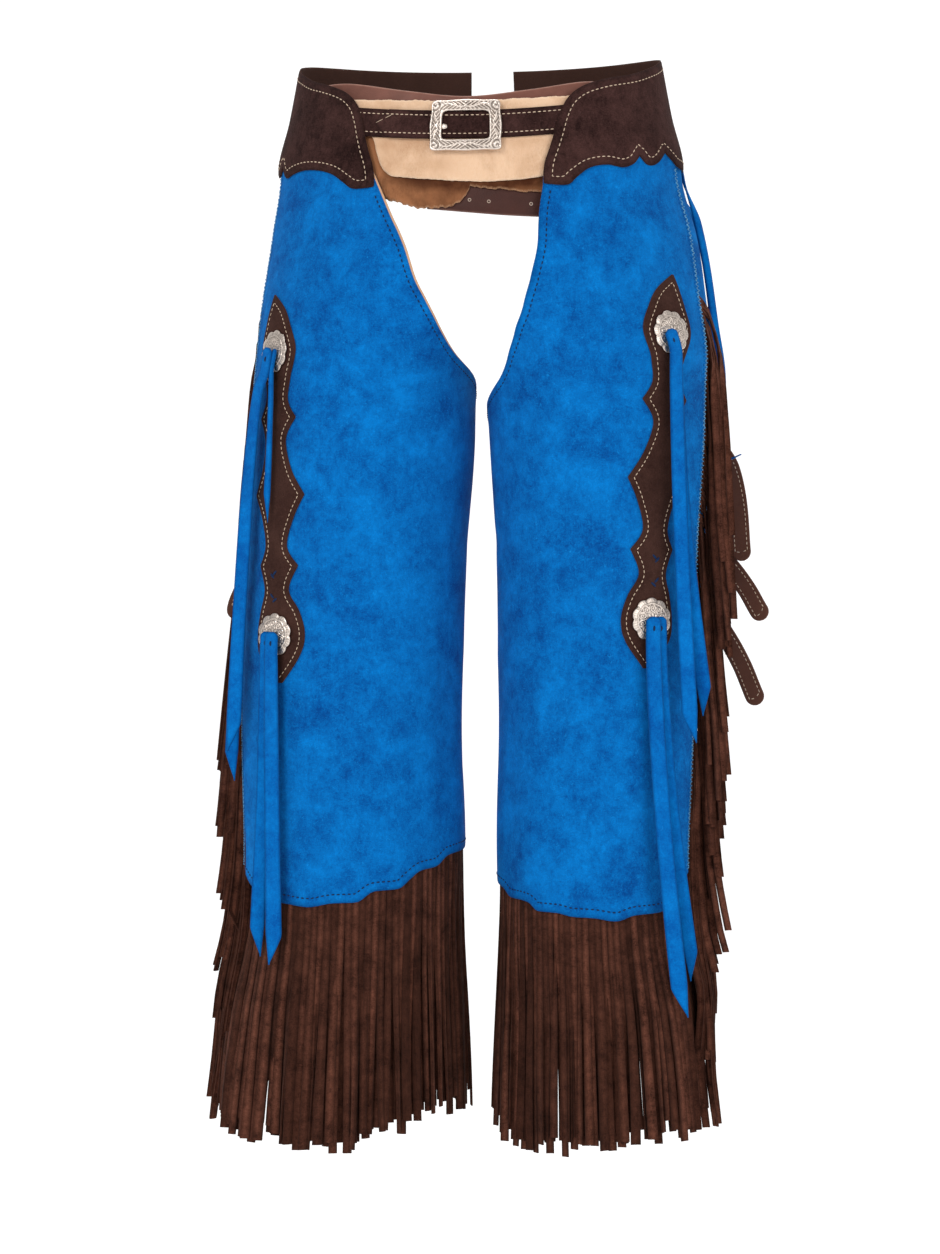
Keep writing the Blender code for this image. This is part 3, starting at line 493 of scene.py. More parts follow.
def new_object(name: str, points: Array, faces: Array, smooth: bool = True) -> Object:
    """Puts points and faces into a new mesh object whose faces point outward.

    The sign of the volume, summed as a third of each face's base times height from the origin,
    says whether the faces have to be turned round.

    Args:
        name: the object's name.
        points: millimetres, one row a point.
        faces: rows of four corners; a triangle repeats its last corner.
        smooth: whether the faces are shaded smooth.

    Returns:
        The object, in the scene, at the origin.
    """
    corners = points[faces]
    first = np.einsum("ij,ij->i", corners[:, 0], np.cross(corners[:, 1], corners[:, 2]))
    second = np.einsum("ij,ij->i", corners[:, 0], np.cross(corners[:, 2], corners[:, 3]))
    used = np.ones(faces.shape, bool)
    used[faces[:, 2] == faces[:, 3], 3] = False
    if float((first + second).sum()) < 0:
        faces, used = faces[:, ::-1], used[:, ::-1]
    loops = faces[used]
    starts = np.concatenate([[0], np.cumsum(used.sum(1))[:-1]])
    mesh = bpy.data.meshes.new(name)
    mesh.from_pydata([], [], [])
    mesh.vertices.add(len(points))
    mesh.vertices.foreach_set("co", (points * MM).astype(np.float32).ravel())
    mesh.loops.add(len(loops))
    mesh.loops.foreach_set("vertex_index", loops.astype(np.int32))
    mesh.polygons.add(len(faces))
    mesh.polygons.foreach_set("loop_start", starts.astype(np.int32))
    mesh.polygons.foreach_set("use_smooth", np.full(len(faces), smooth))
    mesh.update(calc_edges=True)
    mesh.validate()
    obj = bpy.data.objects.new(name, mesh)
    bpy.context.scene.collection.objects.link(obj)
    return obj


def put_values(obj: Object, name: str, values: Array) -> None:
    """Keeps one number a point on the mesh, for its material to read."""
    attribute = obj.data.attributes.new(name, "FLOAT", "POINT")
    attribute.data.foreach_set("value", values.astype(np.float32).ravel())


def grid_faces(rows: int, columns: int, first: int = 0, wrap: bool = False) -> Array:
    """The quads of a grid of points that are numbered row by row.

    Args:
        rows: rows of points.
        columns: points in a row.
        first: the number of the first point.
        wrap: whether the last column joins the first.

    Returns:
        Rows of four corners.
    """
    i = np.arange(rows - 1)[:, None]
    j = np.arange(columns if wrap else columns - 1)[None, :]
    n = (j + 1) % columns
    quads = np.stack([i * columns + j, i * columns + n, (i + 1) * columns + n, (i + 1) * columns + j], -1)
    return quads.reshape(-1, 4) + first


def fan(start: Array, end: Array, middle: int) -> Array:
    """Triangles from a ring's edges to its middle point, which each row of corners repeats."""
    return np.stack([start, end, np.full_like(start, middle), np.full_like(start, middle)], -1)


def copies(faces: Array, count: int, points: int) -> Array:
    """The same faces again for each of count parts that have as many points."""
    return (faces[None] + (np.arange(count) * points)[:, None, None]).reshape(-1, 4)


def to_border(grid: Array) -> Array:
    """The distance from each point of a grid to the nearest point beside it on the border."""
    borders = (grid[:1], grid[-1:], grid[:, :1], grid[:, -1:])
    return np.minimum.reduce([np.linalg.norm(grid - border, axis=-1) for border in borders])


def shell_between(name: str, outer: Array, inner: Array) -> Object:
    """A closed thin shell between two grids of the same size.

    Both grids' faces and four walls that join their borders make one closed surface. Two values go
    with each point: edge, the distance to the nearest border, and under, 0 outside and 1 inside.

    Args:
        name: the object's name.
        outer: the outer grid, rows by columns by 3.
        inner: the inner grid.

    Returns:
        The object.
    """
    rows, columns = outer.shape[:2]
    count = rows * columns
    number = np.arange(count).reshape(rows, columns)
    rim = np.concatenate([number[0, :], number[1:, -1], number[-1, -2::-1], number[-2:0:-1, 0]])
    after = np.roll(rim, -1)
    walls = np.stack([after, rim, rim + count, after + count], -1)
    faces = np.concatenate([grid_faces(rows, columns), grid_faces(rows, columns, count)[:, ::-1], walls])
    obj = new_object(name, np.concatenate([outer.reshape(-1, 3), inner.reshape(-1, 3)]), faces)
    put_values(obj, "edge", np.tile(to_border(outer).ravel(), 2))
    put_values(obj, "under", np.repeat([0.0, 1.0], count))
    return obj


class Cut(NamedTuple):
    """The flat size of a piece of leather, in metres and square metres."""

    width: float
    length: float
    area: float


Made = tuple[Object, Cut]
# The least width and length, in metres, that a flat size states.
LEAST_CUT = 0.0101


def cut_of(grid: Array) -> Cut:
    """The flat size of a grid: a long row's and column's lengths, and the sum of its quads' areas.

    Args:
        grid: the middle surface, rows by columns by 3, in millimetres.

    Returns:
        The size, whose area is held within what a cut of that width and length can have.
    """
    wide = np.quantile(np.linalg.norm(np.diff(grid, axis=0), axis=-1).sum(0), 0.95)
    long = np.quantile(np.linalg.norm(np.diff(grid, axis=1), axis=-1).sum(1), 0.95)
    side_a = grid[1:, 1:] - grid[:-1, :-1]
    side_b = grid[1:, :-1] - grid[:-1, 1:]
    area = 0.5 * np.linalg.norm(np.cross(side_a, side_b), axis=-1).sum() * MM * MM
    width, length = max(wide * MM, LEAST_CUT), max(long * MM, LEAST_CUT)
    return Cut(float(width), float(length), float(np.clip(area, 0.31 * width * length, width * length)))


def leather_shell(name: str, place: Placer, across: Array, down: Array, thick: float) -> Made:
    """A shell of one thickness over a surface, with its cut edges rounded off.

    Both faces draw together near the border by a share of the thickness that fades as e to the
    minus distance over the thickness.

    Args:
        name: the object's name.
        place: gives points for across, down and a height over the inner face.
        across: values from 0 to 1 of the first measure.
        down: values from 0 to 1 of the second measure.
        thick: the thickness.

    Returns:
        The object and its flat size.
    """
    u, v = np.meshgrid(across, down, indexing="ij")
    middle = place(u, v, np.full_like(u, thick / 2))
    draw = 0.34 * thick * np.exp(-to_border(middle) / (0.6 * thick))
    return shell_between(name, place(u, v, thick - draw), place(u, v, draw)), cut_of(middle)


def ribbon_grid(centres: Array, wide: Array, half: Array, bow: Array, columns: int, toward: Array) -> Row:
    """The middle surface of a strap: half widths either side of a path, bowed across.

    A point is the path's plus its wide direction times the share across, plus its face direction
    times the bow times one less the share squared.

    Args:
        centres: the path's points.
        wide: the direction of the width at each.
        half: half the width at each.
        bow: how far the middle stands over the edges at each.
        columns: points across.
        toward: where the grain face looks, as one direction or one for each place.

    Returns:
        The grid, and the grain face's direction at each of its points.
    """
    along = unit(np.gradient(centres, axis=0))
    wide = unit(wide - (wide * along).sum(1, keepdims=True) * along)
    face = np.cross(wide, along)
    face = face * np.sign((face * toward).sum())
    share = close_at_ends(columns, 0.5)[None, :, None] * 2 - 1
    grid = centres[:, None] + wide[:, None] * half[:, None, None] * share
    grid = grid + face[:, None] * bow[:, None, None] * (1 - share**2)
    return grid, np.broadcast_to(face[:, None], grid.shape)


def strap_shell(name: str, centres: Array, wide: Array, half: Array, thick: float, toward: Array,
                bow: Array | None = None, columns: int = 9) -> Made:
    """A strap, thong or tail as a closed shell along a path.

    Args:
        name: the object's name.
        centres: the path's points.
        wide: the direction of the width at each.
        half: half the width at each.
        thick: the thickness.
        toward: where the grain face looks.
        bow: how far the middle stands over the edges at each.
        columns: points across.

    Returns:
        The object and its flat size.
    """
    bow = np.zeros(len(centres)) if bow is None else bow
    grid, face = ribbon_grid(centres, wide, half, bow, columns, toward)
    share = np.abs(close_at_ends(columns, 0.5) * 2 - 1)[None, :, None]
    lift = face * (thick / 2) * (1 - 0.45 * share**6)
    return shell_between(name, grid + lift, grid - lift), cut_of(grid)


def capped_tube(name: str, rings: Array, ends: Array) -> Object:
    """A tube through rings of points, closed by fans round a middle point at both ends.

    Args:
        name: the object's name.
        rings: the points, by ring and place round it.
        ends: the two middle points.

    Returns:
        The object, whose point value cut is 0.
    """
    rows, count = rings.shape[:2]
    first = np.arange(count)
    last = first[::-1] + (rows - 1) * count
    caps = [fan(ring, np.roll(ring, -1), rows * count + i) for i, ring in enumerate((first, last))]
    faces = np.concatenate([grid_faces(rows, count, wrap=True)[:, ::-1], *caps])
    obj = new_object(name, np.concatenate([rings.reshape(-1, 3), ends]), faces)
    put_values(obj, "cut", np.zeros(len(obj.data.vertices)))
    return obj


def closed_tube(name: str, loop: Array, radius: float, sides: int) -> Object:
    """Round wire bent into a closed loop.

    At each point of the loop a ring lies across it: cosine times the radius away from the loop's
    middle, and sine times the radius along the loop's axis.

    Args:
        name: the object's name.
        loop: points of the loop, the last not repeating the first.
        radius: of the wire.
        sides: points round the wire.

    Returns:
        The object.
    """
    along = unit(np.roll(loop, -1, 0) - np.roll(loop, 1, 0))
    axis = unit(np.cross(loop - loop.mean(0), along).mean(0))
    away = unit(np.cross(along, np.broadcast_to(axis, along.shape)))
    turn = full_turn(sides)[None, :, None]
    rings = loop[:, None] + radius * (np.cos(turn) * away[:, None] + np.sin(turn) * axis)
    faces = grid_faces(len(loop) + 1, sides, wrap=True) % (len(loop) * sides)
    return new_object(name, rings.reshape(-1, 3), faces)


# ---- Sewing


# The sides of the tubes that threads and strands are made of.
SIDES = 6


@dataclass(frozen=True)
class Thread:
    """A row of stitches: their spacing, length and the thread's width."""

    pitch: float = 5.0
    length: float = 3.7
    width: float = 0.95

    def sew(self, name: str, rows: Sequence[Row]) -> Object:
        """Lays stitches along paths, as one mesh.

        A stitch is five rings of six points round a short line: their radius swells as the square
        root of a cosine, and they sink at both ends by a cosine, where the thread goes into the
        leather.

        Args:
            name: the object's name.
            rows: for each row its points and the outward directions there.

        Returns:
            The object.
        """
        rings = np.concatenate([self.stitches(points, outward) for points, outward in rows])
        count, per = rings.shape[:2]
        far = (per - 1) * SIDES
        ends = np.array([[3, 2, 1, 0], [0, 1, 2, 3], [0, 5, 4, 3], [3, 4, 5, 0]])
        ends = ends + np.array([0, far, 0, far])[:, None]
        faces = np.concatenate([grid_faces(per, SIDES, wrap=True), ends])
        return new_object(name, rings.reshape(-1, 3), copies(faces, count, per * SIDES))

    def stitches(self, points: Array, outward: Array) -> Array:
        """The rings of one row's stitches.

        Args:
            points: the row's path.
            outward: the directions out of the leather there.

        Returns:
            Points by stitch, ring and place round the thread.
        """
        at = lengths_along(points)
        count = max(1, int(at[-1] / self.pitch))
        middles = (np.arange(count) + 0.5) * at[-1] / count
        share = np.linspace(-0.5, 0.5, 5)
        where = middles[:, None] + share[None] * self.length
        centre, out = read_along(where, at, points), unit(read_along(where, at, outward))
        along = unit(centre[:, -1] - centre[:, 0])[:, None]
        across = unit(np.cross(np.broadcast_to(along, out.shape), out))
        swell = np.sqrt(np.cos(share * math.pi * 0.94))[None, :, None, None] * self.width / 2
        sink = (0.75 * np.cos(share * math.pi) - 0.45)[None, :, None] * self.width / 2
        turn = (2 * math.pi * np.arange(SIDES) / SIDES)[None, None, :, None]
        ring = np.cos(turn) * across[:, :, None] + 0.8 * np.sin(turn) * out[:, :, None]
        return (centre + out * sink)[:, :, None] + swell * ring


def inset_line(line: Array, distance: float, closed: bool = True) -> Array:
    """A flat line moved in from a cut edge, without the loops that it makes at corners.

    Each point moves sideways by the distance, along the line's normal, and goes if any point of
    the edge is then nearer than that. A gap left at an inner corner gets the point where the rows
    on both its sides would meet.

    Args:
        line: points of the edge in flat millimetres, with the piece on their left.
        distance: how far in.
        closed: whether the edge closes on itself.

    Returns:
        The points that are left.
    """
    before, after = (line[-1:], line[:1]) if closed else (line[:1], line[-1:])
    ahead, behind = np.concatenate([line[1:], after]), np.concatenate([before, line[:-1]])
    along = unit(ahead - behind)
    moved = line + distance * np.stack([-along[:, 1], along[:, 0]], 1)
    apart = np.linalg.norm(moved[:, None] - line[None], axis=-1).min(1)
    kept = moved[apart > 0.985 * distance]
    steps = np.linalg.norm(np.diff(kept, axis=0), axis=1)
    for i in reversed(np.flatnonzero(steps > 2.5)):
        if not 4 <= i < len(kept) - 6:
            continue
        a, b = kept[i] - kept[i - 4], kept[i + 5] - kept[i + 1]
        turn = a[0] * b[1] - a[1] * b[0]
        gap = kept[i + 1] - kept[i]
        reach = (gap[0] * b[1] - gap[1] * b[0]) / turn if abs(turn) > 1e-6 else 0.0
        tip = kept[i] + a * reach
        if reach > 0 and np.linalg.norm(tip - kept[i]) < 9.0:
            kept = np.insert(kept, i + 1, tip, axis=0)
    return kept


def turned_left(line: Array) -> Array:
    """A closed flat line in the order that keeps its inside on the left.

    Args:
        line: the corners in either order.

    Returns:
        The line, reversed if it ran the other way.
    """
    ahead = np.roll(line, -1, 0)
    area = (line[:, 0] * ahead[:, 1] - ahead[:, 0] * line[:, 1]).sum()
    return line if area > 0 else line[::-1]


@dataclass(frozen=True)
class FlatMap:
    """Turns places on the form into flat millimetres and back, measured round it at one drop."""

    side: Side
    drop: float
    section: Section = Section.LEG

    def flatten(self, line: Array) -> Array:
        """Angle and drop to flat millimetres."""
        angles, arcs = FORM.arc_table(self.side, self.drop, self.section)
        return np.stack([np.interp(line[:, 0], angles, arcs), line[:, 1]], 1)

    def unflatten(self, line: Array) -> Array:
        """Flat millimetres to angle and drop."""
        angles, arcs = FORM.arc_table(self.side, self.drop, self.section)
        return np.stack([np.interp(line[:, 0], arcs, angles), line[:, 1]], 1)

    def row(self, line: Array, out: Array | float) -> Row:
        """A line of angle and drop as a sewing row: its points and outward directions."""
        return FORM.row(self.side, line[:, 0], line[:, 1], out, self.section)

    def beside(self, line: Array, distance: float, out: Array | float) -> Row:
        """A sewing row beside a smooth line, at a distance measured on the form itself.

        At each point the form's steps for one degree and one millimetre of drop are worked out, and
        the two shares of them that make up the sideways step are found from their products.

        Args:
            line: angle and drop.
            distance: how far to the line's left.
            out: height over the form.

        Returns:
            The row's points and outward directions.
        """
        angle, drop = line[:, 0], line[:, 1]
        points, outward = self.row(line, out)
        turn = FORM.around(self.side, angle, drop, out, 0.5, self.section)
        fall = (FORM.place(self.side, angle, drop + 0.5, out, self.section)
                - FORM.place(self.side, angle, drop - 0.5, out, self.section))
        sideways = unit(np.cross(outward, np.gradient(points, axis=0))) * distance
        aa, ab, bb = (turn * turn).sum(1), (turn * fall).sum(1), (fall * fall).sum(1)
        pa, pb = (sideways * turn).sum(1), (sideways * fall).sum(1)
        size = aa * bb - ab * ab
        moved = line + np.stack([pa * bb - pb * ab, pb * aa - pa * ab], 1) / size[:, None]
        return self.row(moved, out)

    def inset_row(self, outline: Array, distance: float, out: float, closed: bool = True) -> Row:
        """A sewing row that follows a cut edge, moved in from it.

        Args:
            outline: the edge, as angle and drop.
            distance: how far in.
            out: height over the form.
            closed: whether the edge closes on itself.

        Returns:
            The row's points and outward directions.
        """
        flat = self.flatten(outline)
        count = max(40, int(lengths_along(flat)[-1] / 0.8))
        flat = resampled(flat, count)
        flat = turned_left(flat[:-1]) if closed else flat
        kept = inset_line(flat, distance, closed)
        kept = np.concatenate([kept, kept[:1]]) if closed else kept
        return self.row(self.unflatten(resampled(kept, count)), out)


# ---- Finishes

class Recipe:
    """Builds one material's nodes. Patterns read Object coordinates, in metres, or a point value."""

    def __init__(self, name: str, roughness: float, metallic: float = 0.0, sheen: float = 0.0,
                 sheen_tint: Colour = (1.0, 1.0, 1.0), gleam: float = 0.5) -> None:
        """Starts a material whose values that are the same all over sit on the shader's sockets.

        Args:
            name: the material's name.
            roughness: the shader's roughness.
            metallic: 1 on metal.
            sheen: how much the nap catches light at the sides.
            sheen_tint: the colour of that light.
            gleam: the level of plain reflections, which a nap has hardly any of.
        """
        self.material = bpy.data.materials.new(name)
        self.material.use_nodes = True
        self.tree = self.material.node_tree
        self.shader = self.tree.nodes["Principled BSDF"]
        self.fill(self.shader, {"Roughness": roughness, "Metallic": metallic, "Specular IOR Level": gleam,
                                "Sheen Weight": sheen, "Sheen Roughness": 0.55, "Sheen Tint": sheen_tint})
        self.place = self.node("TexCoord", {}, "Object")

    def fill(self, node: bpy.types.Node, values: dict[str | int, Socket | float | Colour]) -> None:
        """Puts a number or a colour on each named input of a node, or links a socket to it.

        Args:
            node: the node.
            values: what goes to each input.
        """
        for name, value in values.items():
            socket = node.inputs[name]
            if isinstance(value, Socket):
                self.tree.links.new(value, socket)
            else:
                socket.default_value = (*value, 1.0) if socket.type == "RGBA" else value

    def node(self, kind: str, values: dict[str | int, Socket | float | Colour], output: str | int = 0,
             **options: str) -> Socket:
        """Adds a node.

        Args:
            kind: what node it is.
            values: what goes to its inputs.
            output: which of its outputs is wanted.
            options: its own settings.

        Returns:
            That output.
        """
        node = self.tree.nodes.new("ShaderNode" + kind)
        for name, option in options.items():
            setattr(node, name, option)
        self.fill(node, values)
        return node.outputs[output]

    def value(self, name: str) -> Socket:
        """A point value kept on the mesh."""
        return self.node("Attribute", {}, "Fac", attribute_name=name)

    def stretched(self, factors: Colour) -> Socket:
        """The place, scaled by a factor along each axis."""
        return self.node("Mapping", {"Vector": self.place, "Scale": factors})

    def noise(self, scale: float, detail: float = 2.0, roughness: float = 0.5,
              place: Socket | None = None, twist: float = 0.0) -> Socket:
        """Cloudy noise, from about 0.25 to 0.75."""
        return self.node("TexNoise", {"Vector": place or self.place, "Scale": scale, "Detail": detail,
                                      "Roughness": roughness, "Distortion": twist}, "Fac")

    def cells(self, scale: float) -> Socket:
        """The distance to the nearest of scattered points, for pebbled grain."""
        return self.node("TexVoronoi", {"Vector": self.place, "Scale": scale}, "Distance")

    def between(self, value: Socket, low: float, high: float, to_low: float = 0.0,
                to_high: float = 1.0) -> Socket:
        """A value's stretch from low to high turned evenly into another one, and held outside it."""
        return self.node("MapRange", dict(enumerate((value, low, high, to_low, to_high))))

    def sum_of(self, first: Socket, second: Socket, share: float = 1.0) -> Socket:
        """The first value plus share times the second."""
        return self.node("Math", {0: second, 1: share, 2: first}, operation="MULTIPLY_ADD")

    def product(self, first: Socket, second: Socket) -> Socket:
        """One value times the other."""
        return self.node("Math", {0: first, 1: second}, operation="MULTIPLY")

    def blend(self, share: Socket, first: Socket | Colour, second: Socket | Colour) -> Socket:
        """The first colour turning into the second as share goes from 0 to 1."""
        return self.node("Mix", {0: share, 6: first, 7: second}, 2, data_type="RGBA")

    def finish(self, colour: Socket, height: Socket | None = None, depth: float = 0.0003,
               roughness: Socket | None = None) -> bpy.types.Material:
        """Joins the colour, the relief and any roughness to the shader.

        Args:
            colour: the surface's colour.
            height: the relief's height, from 0 to 1.
            depth: metres that 1 stands for.
            roughness: the shader's roughness where it varies.

        Returns:
            The material.
        """
        joined = {"Base Color": colour}
        if roughness is not None:
            joined["Roughness"] = roughness
        if height is not None:
            relief = {"Strength": 1.0, "Distance": depth, "Height": height}
            joined["Normal"] = self.node("Bump", relief, "Normal")
        self.fill(self.shader, joined)
        return self.material


def dimmed(colour: Colour, share: float) -> Colour:
    """The colour times a share."""
    return tuple(part * share for part in colour)


@dataclass(frozen=True)
class Suede:
    """Napped suede: cloudy where the nap lies different ways, with painted glints and a paler or darker cut
    edge.
    """

    name: str
    deep: Colour
    bright: Colour
    under: Colour
    cut: Colour
    speck: Colour
    cloud: float = 27.0
    contrast: float = 0.60
    edge_shade: float = 0.55
    edge_reach: float = 5.0
    sheen: float = 0.03
    sheen_tint: Colour = (0.4, 0.7, 1.0)
    nap: float = 0.00035

    def material(self) -> bpy.types.Material:
        """The suede's material.

        Clouds of three sizes and fine fibres along the drop mix the deep and the bright colour, and pale
        flecks are painted glints of light on the nap. Near a cut edge the nap is crushed darker; on the ties
        and the fringe strands that darkening is painted shade. On the wall the core shows, and inside the
        flesh side.

        Returns:
            The material.
        """
        r = Recipe(self.name, 0.95, sheen=self.sheen, sheen_tint=self.sheen_tint, gleam=0.06)
        large = r.noise(self.cloud, 3.0, 0.6, twist=0.3)
        clouds = r.sum_of(large, r.noise(self.cloud * 3.1, 4.0, 0.65, twist=0.4), 0.7)
        brushed = r.noise(self.cloud * 11.0, 4.0, 0.65, r.stretched((1.0, 1.0, 0.45)), 1.8)
        hair = r.noise(520.0, 4.0, 0.7, r.stretched((0.5, 0.5, 1.0)), 2.0)
        tone = r.sum_of(r.sum_of(clouds, brushed, 0.60), hair, 0.95)
        middle, half = 1.625, 0.20 / self.contrast
        share = r.between(tone, middle - half, middle + half)
        face = r.blend(share, self.deep, self.bright)
        # Pale flecks: painted glints of light on the nap.
        painted_glints = r.between(r.noise(380.0, 2.0, 0.5, twist=1.5), 0.62, 0.78, 0.0, 0.5)
        face = r.blend(painted_glints, face, self.speck)
        # Darker near a cut edge: crushed nap, and painted shade on the ties and fringe strands.
        shade = r.between(r.value("edge"), 0.0, self.edge_reach, self.edge_shade, 1.0)
        edge_darkened = r.blend(shade, dimmed(self.deep, 0.4), face)
        flesh = r.blend(share, dimmed(self.under, 0.8), self.under)
        under = r.value("under")
        inside = r.blend(r.between(under, 0.55, 0.95), self.cut, flesh)
        colour = r.blend(r.between(under, 0.06, 0.3), edge_darkened, inside)
        relief = r.sum_of(r.noise(900.0, 3.0, 0.7), r.noise(240.0, 2.0, 0.5), 0.6)
        return r.finish(colour, relief, self.nap)


@dataclass(frozen=True)
class SmoothLeather:
    """Finished leather with a fine pebbled grain, worn paler along its edges."""

    name: str
    colour: Colour
    worn: Colour
    cut: Colour
    gloss: float = 0.42

    def material(self) -> bpy.types.Material:
        """The leather's material: two noises tint it, small cells and pores give the grain.

        Returns:
            The material.
        """
        r = Recipe(self.name, self.gloss, gleam=0.2)
        tone = r.between(r.noise(45.0, 4.0, 0.6), 0.32, 0.7)
        face = r.blend(tone, dimmed(self.colour, 0.72), self.colour)
        near = r.between(r.value("edge"), 0.2, 1.8, 0.85, 0.0)
        wear = r.product(near, r.between(r.noise(160.0, 3.0), 0.3, 0.6, 0.45, 1.0))
        face = r.blend(wear, face, self.worn)
        inside = r.blend(r.between(r.value("under"), 0.6, 0.95), self.cut, self.worn)
        colour = r.blend(r.between(r.value("under"), 0.1, 0.3), face, inside)
        grain = r.sum_of(r.cells(900.0), r.noise(2200.0, 2.0), 0.4)
        rough = r.between(r.noise(70.0, 3.0), 0.3, 0.7, self.gloss - 0.06, self.gloss + 0.14)
        return r.finish(colour, grain, 0.00016, rough)


@dataclass(frozen=True)
class RawSplit:
    """Undyed split leather with a loose furry face, with stains and painted shade, its edges torn paler."""

    name: str
    colour: Colour
    stain: Colour
    fuzz: Colour
    cut: Colour
    depth: float = 0.0006

    def material(self) -> bpy.types.Material:
        """The split's material: clouds and the value shade turn it darker, with stains and painted shade;
        fibres give relief.

        Returns:
            The material.
        """
        r = Recipe(self.name, 0.95, sheen=0.04, sheen_tint=(1.0, 0.9, 0.75), gleam=0.12)
        clouds = r.sum_of(r.noise(16.0, 4.0, 0.6, twist=0.8), r.noise(75.0, 3.0, 0.6), 0.4)
        face = r.blend(r.between(clouds, 0.62, 0.92), self.colour, self.stain)
        fibre = r.noise(620.0, 4.0, 0.75, r.stretched((1.0, 1.0, 0.35)), 1.5)
        face = r.blend(r.between(fibre, 0.35, 0.75, 0.0, 0.5), face, self.fuzz)
        # The point value shade: real stains, and painted shade and shadow where the leg, the belt and the
        # upper flap lie over this leather.
        stain_and_shade_share = r.product(r.value("shade"), r.between(clouds, 0.45, 0.75, 0.75, 1.0))
        face = r.blend(stain_and_shade_share, face, self.stain)
        rim = r.between(r.value("edge"), 0.0, 2.4, 0.75, 0.0)
        face = r.blend(r.product(rim, r.between(fibre, 0.3, 0.6)), face, self.cut)
        relief = r.sum_of(fibre, r.noise(180.0, 3.0, 0.6), 0.7)
        return r.finish(face, relief, self.depth)


@dataclass(frozen=True)
class EngravedMetal:
    """Silver-coloured metal whose cuts have gone dark."""

    name: str
    bright: Colour
    dark: Colour
    gloss: float = 0.28

    def material(self) -> bpy.types.Material:
        """The metal's material: the point value cut darkens it, and fine noise dulls its polish.

        Returns:
            The material.
        """
        r = Recipe(self.name, self.gloss, metallic=1.0)
        tarnish = r.between(r.noise(420.0, 3.0, 0.6), 0.35, 0.8, 0.0, 0.35)
        face = r.blend(tarnish, self.bright, tuple((b + d) / 2 for b, d in zip(self.bright, self.dark)))
        colour = r.blend(r.value("cut"), face, self.dark)
        scratches = r.noise(1600.0, 2.0, 0.6, r.stretched((1.0, 1.0, 0.12)))
        rough = r.between(r.noise(300.0, 3.0), 0.3, 0.7, self.gloss - 0.04, self.gloss + 0.16)
        return r.finish(colour, scratches, 0.00004, rough)


@dataclass(frozen=True)
class Dyed:
    """Waxed sewing thread, or another small plain-coloured thing."""

    name: str
    colour: Colour

    def material(self) -> bpy.types.Material:
        """The material: a little uneven in tone, with a fine twist in its relief.

        Returns:
            The material.
        """
        r = Recipe(self.name, 0.7, gleam=0.2)
        tone = r.between(r.noise(260.0, 2.0), 0.3, 0.7)
        face = r.blend(tone, dimmed(self.colour, 0.78), self.colour)
        return r.finish(face, r.noise(2600.0, 2.0), 0.00008)


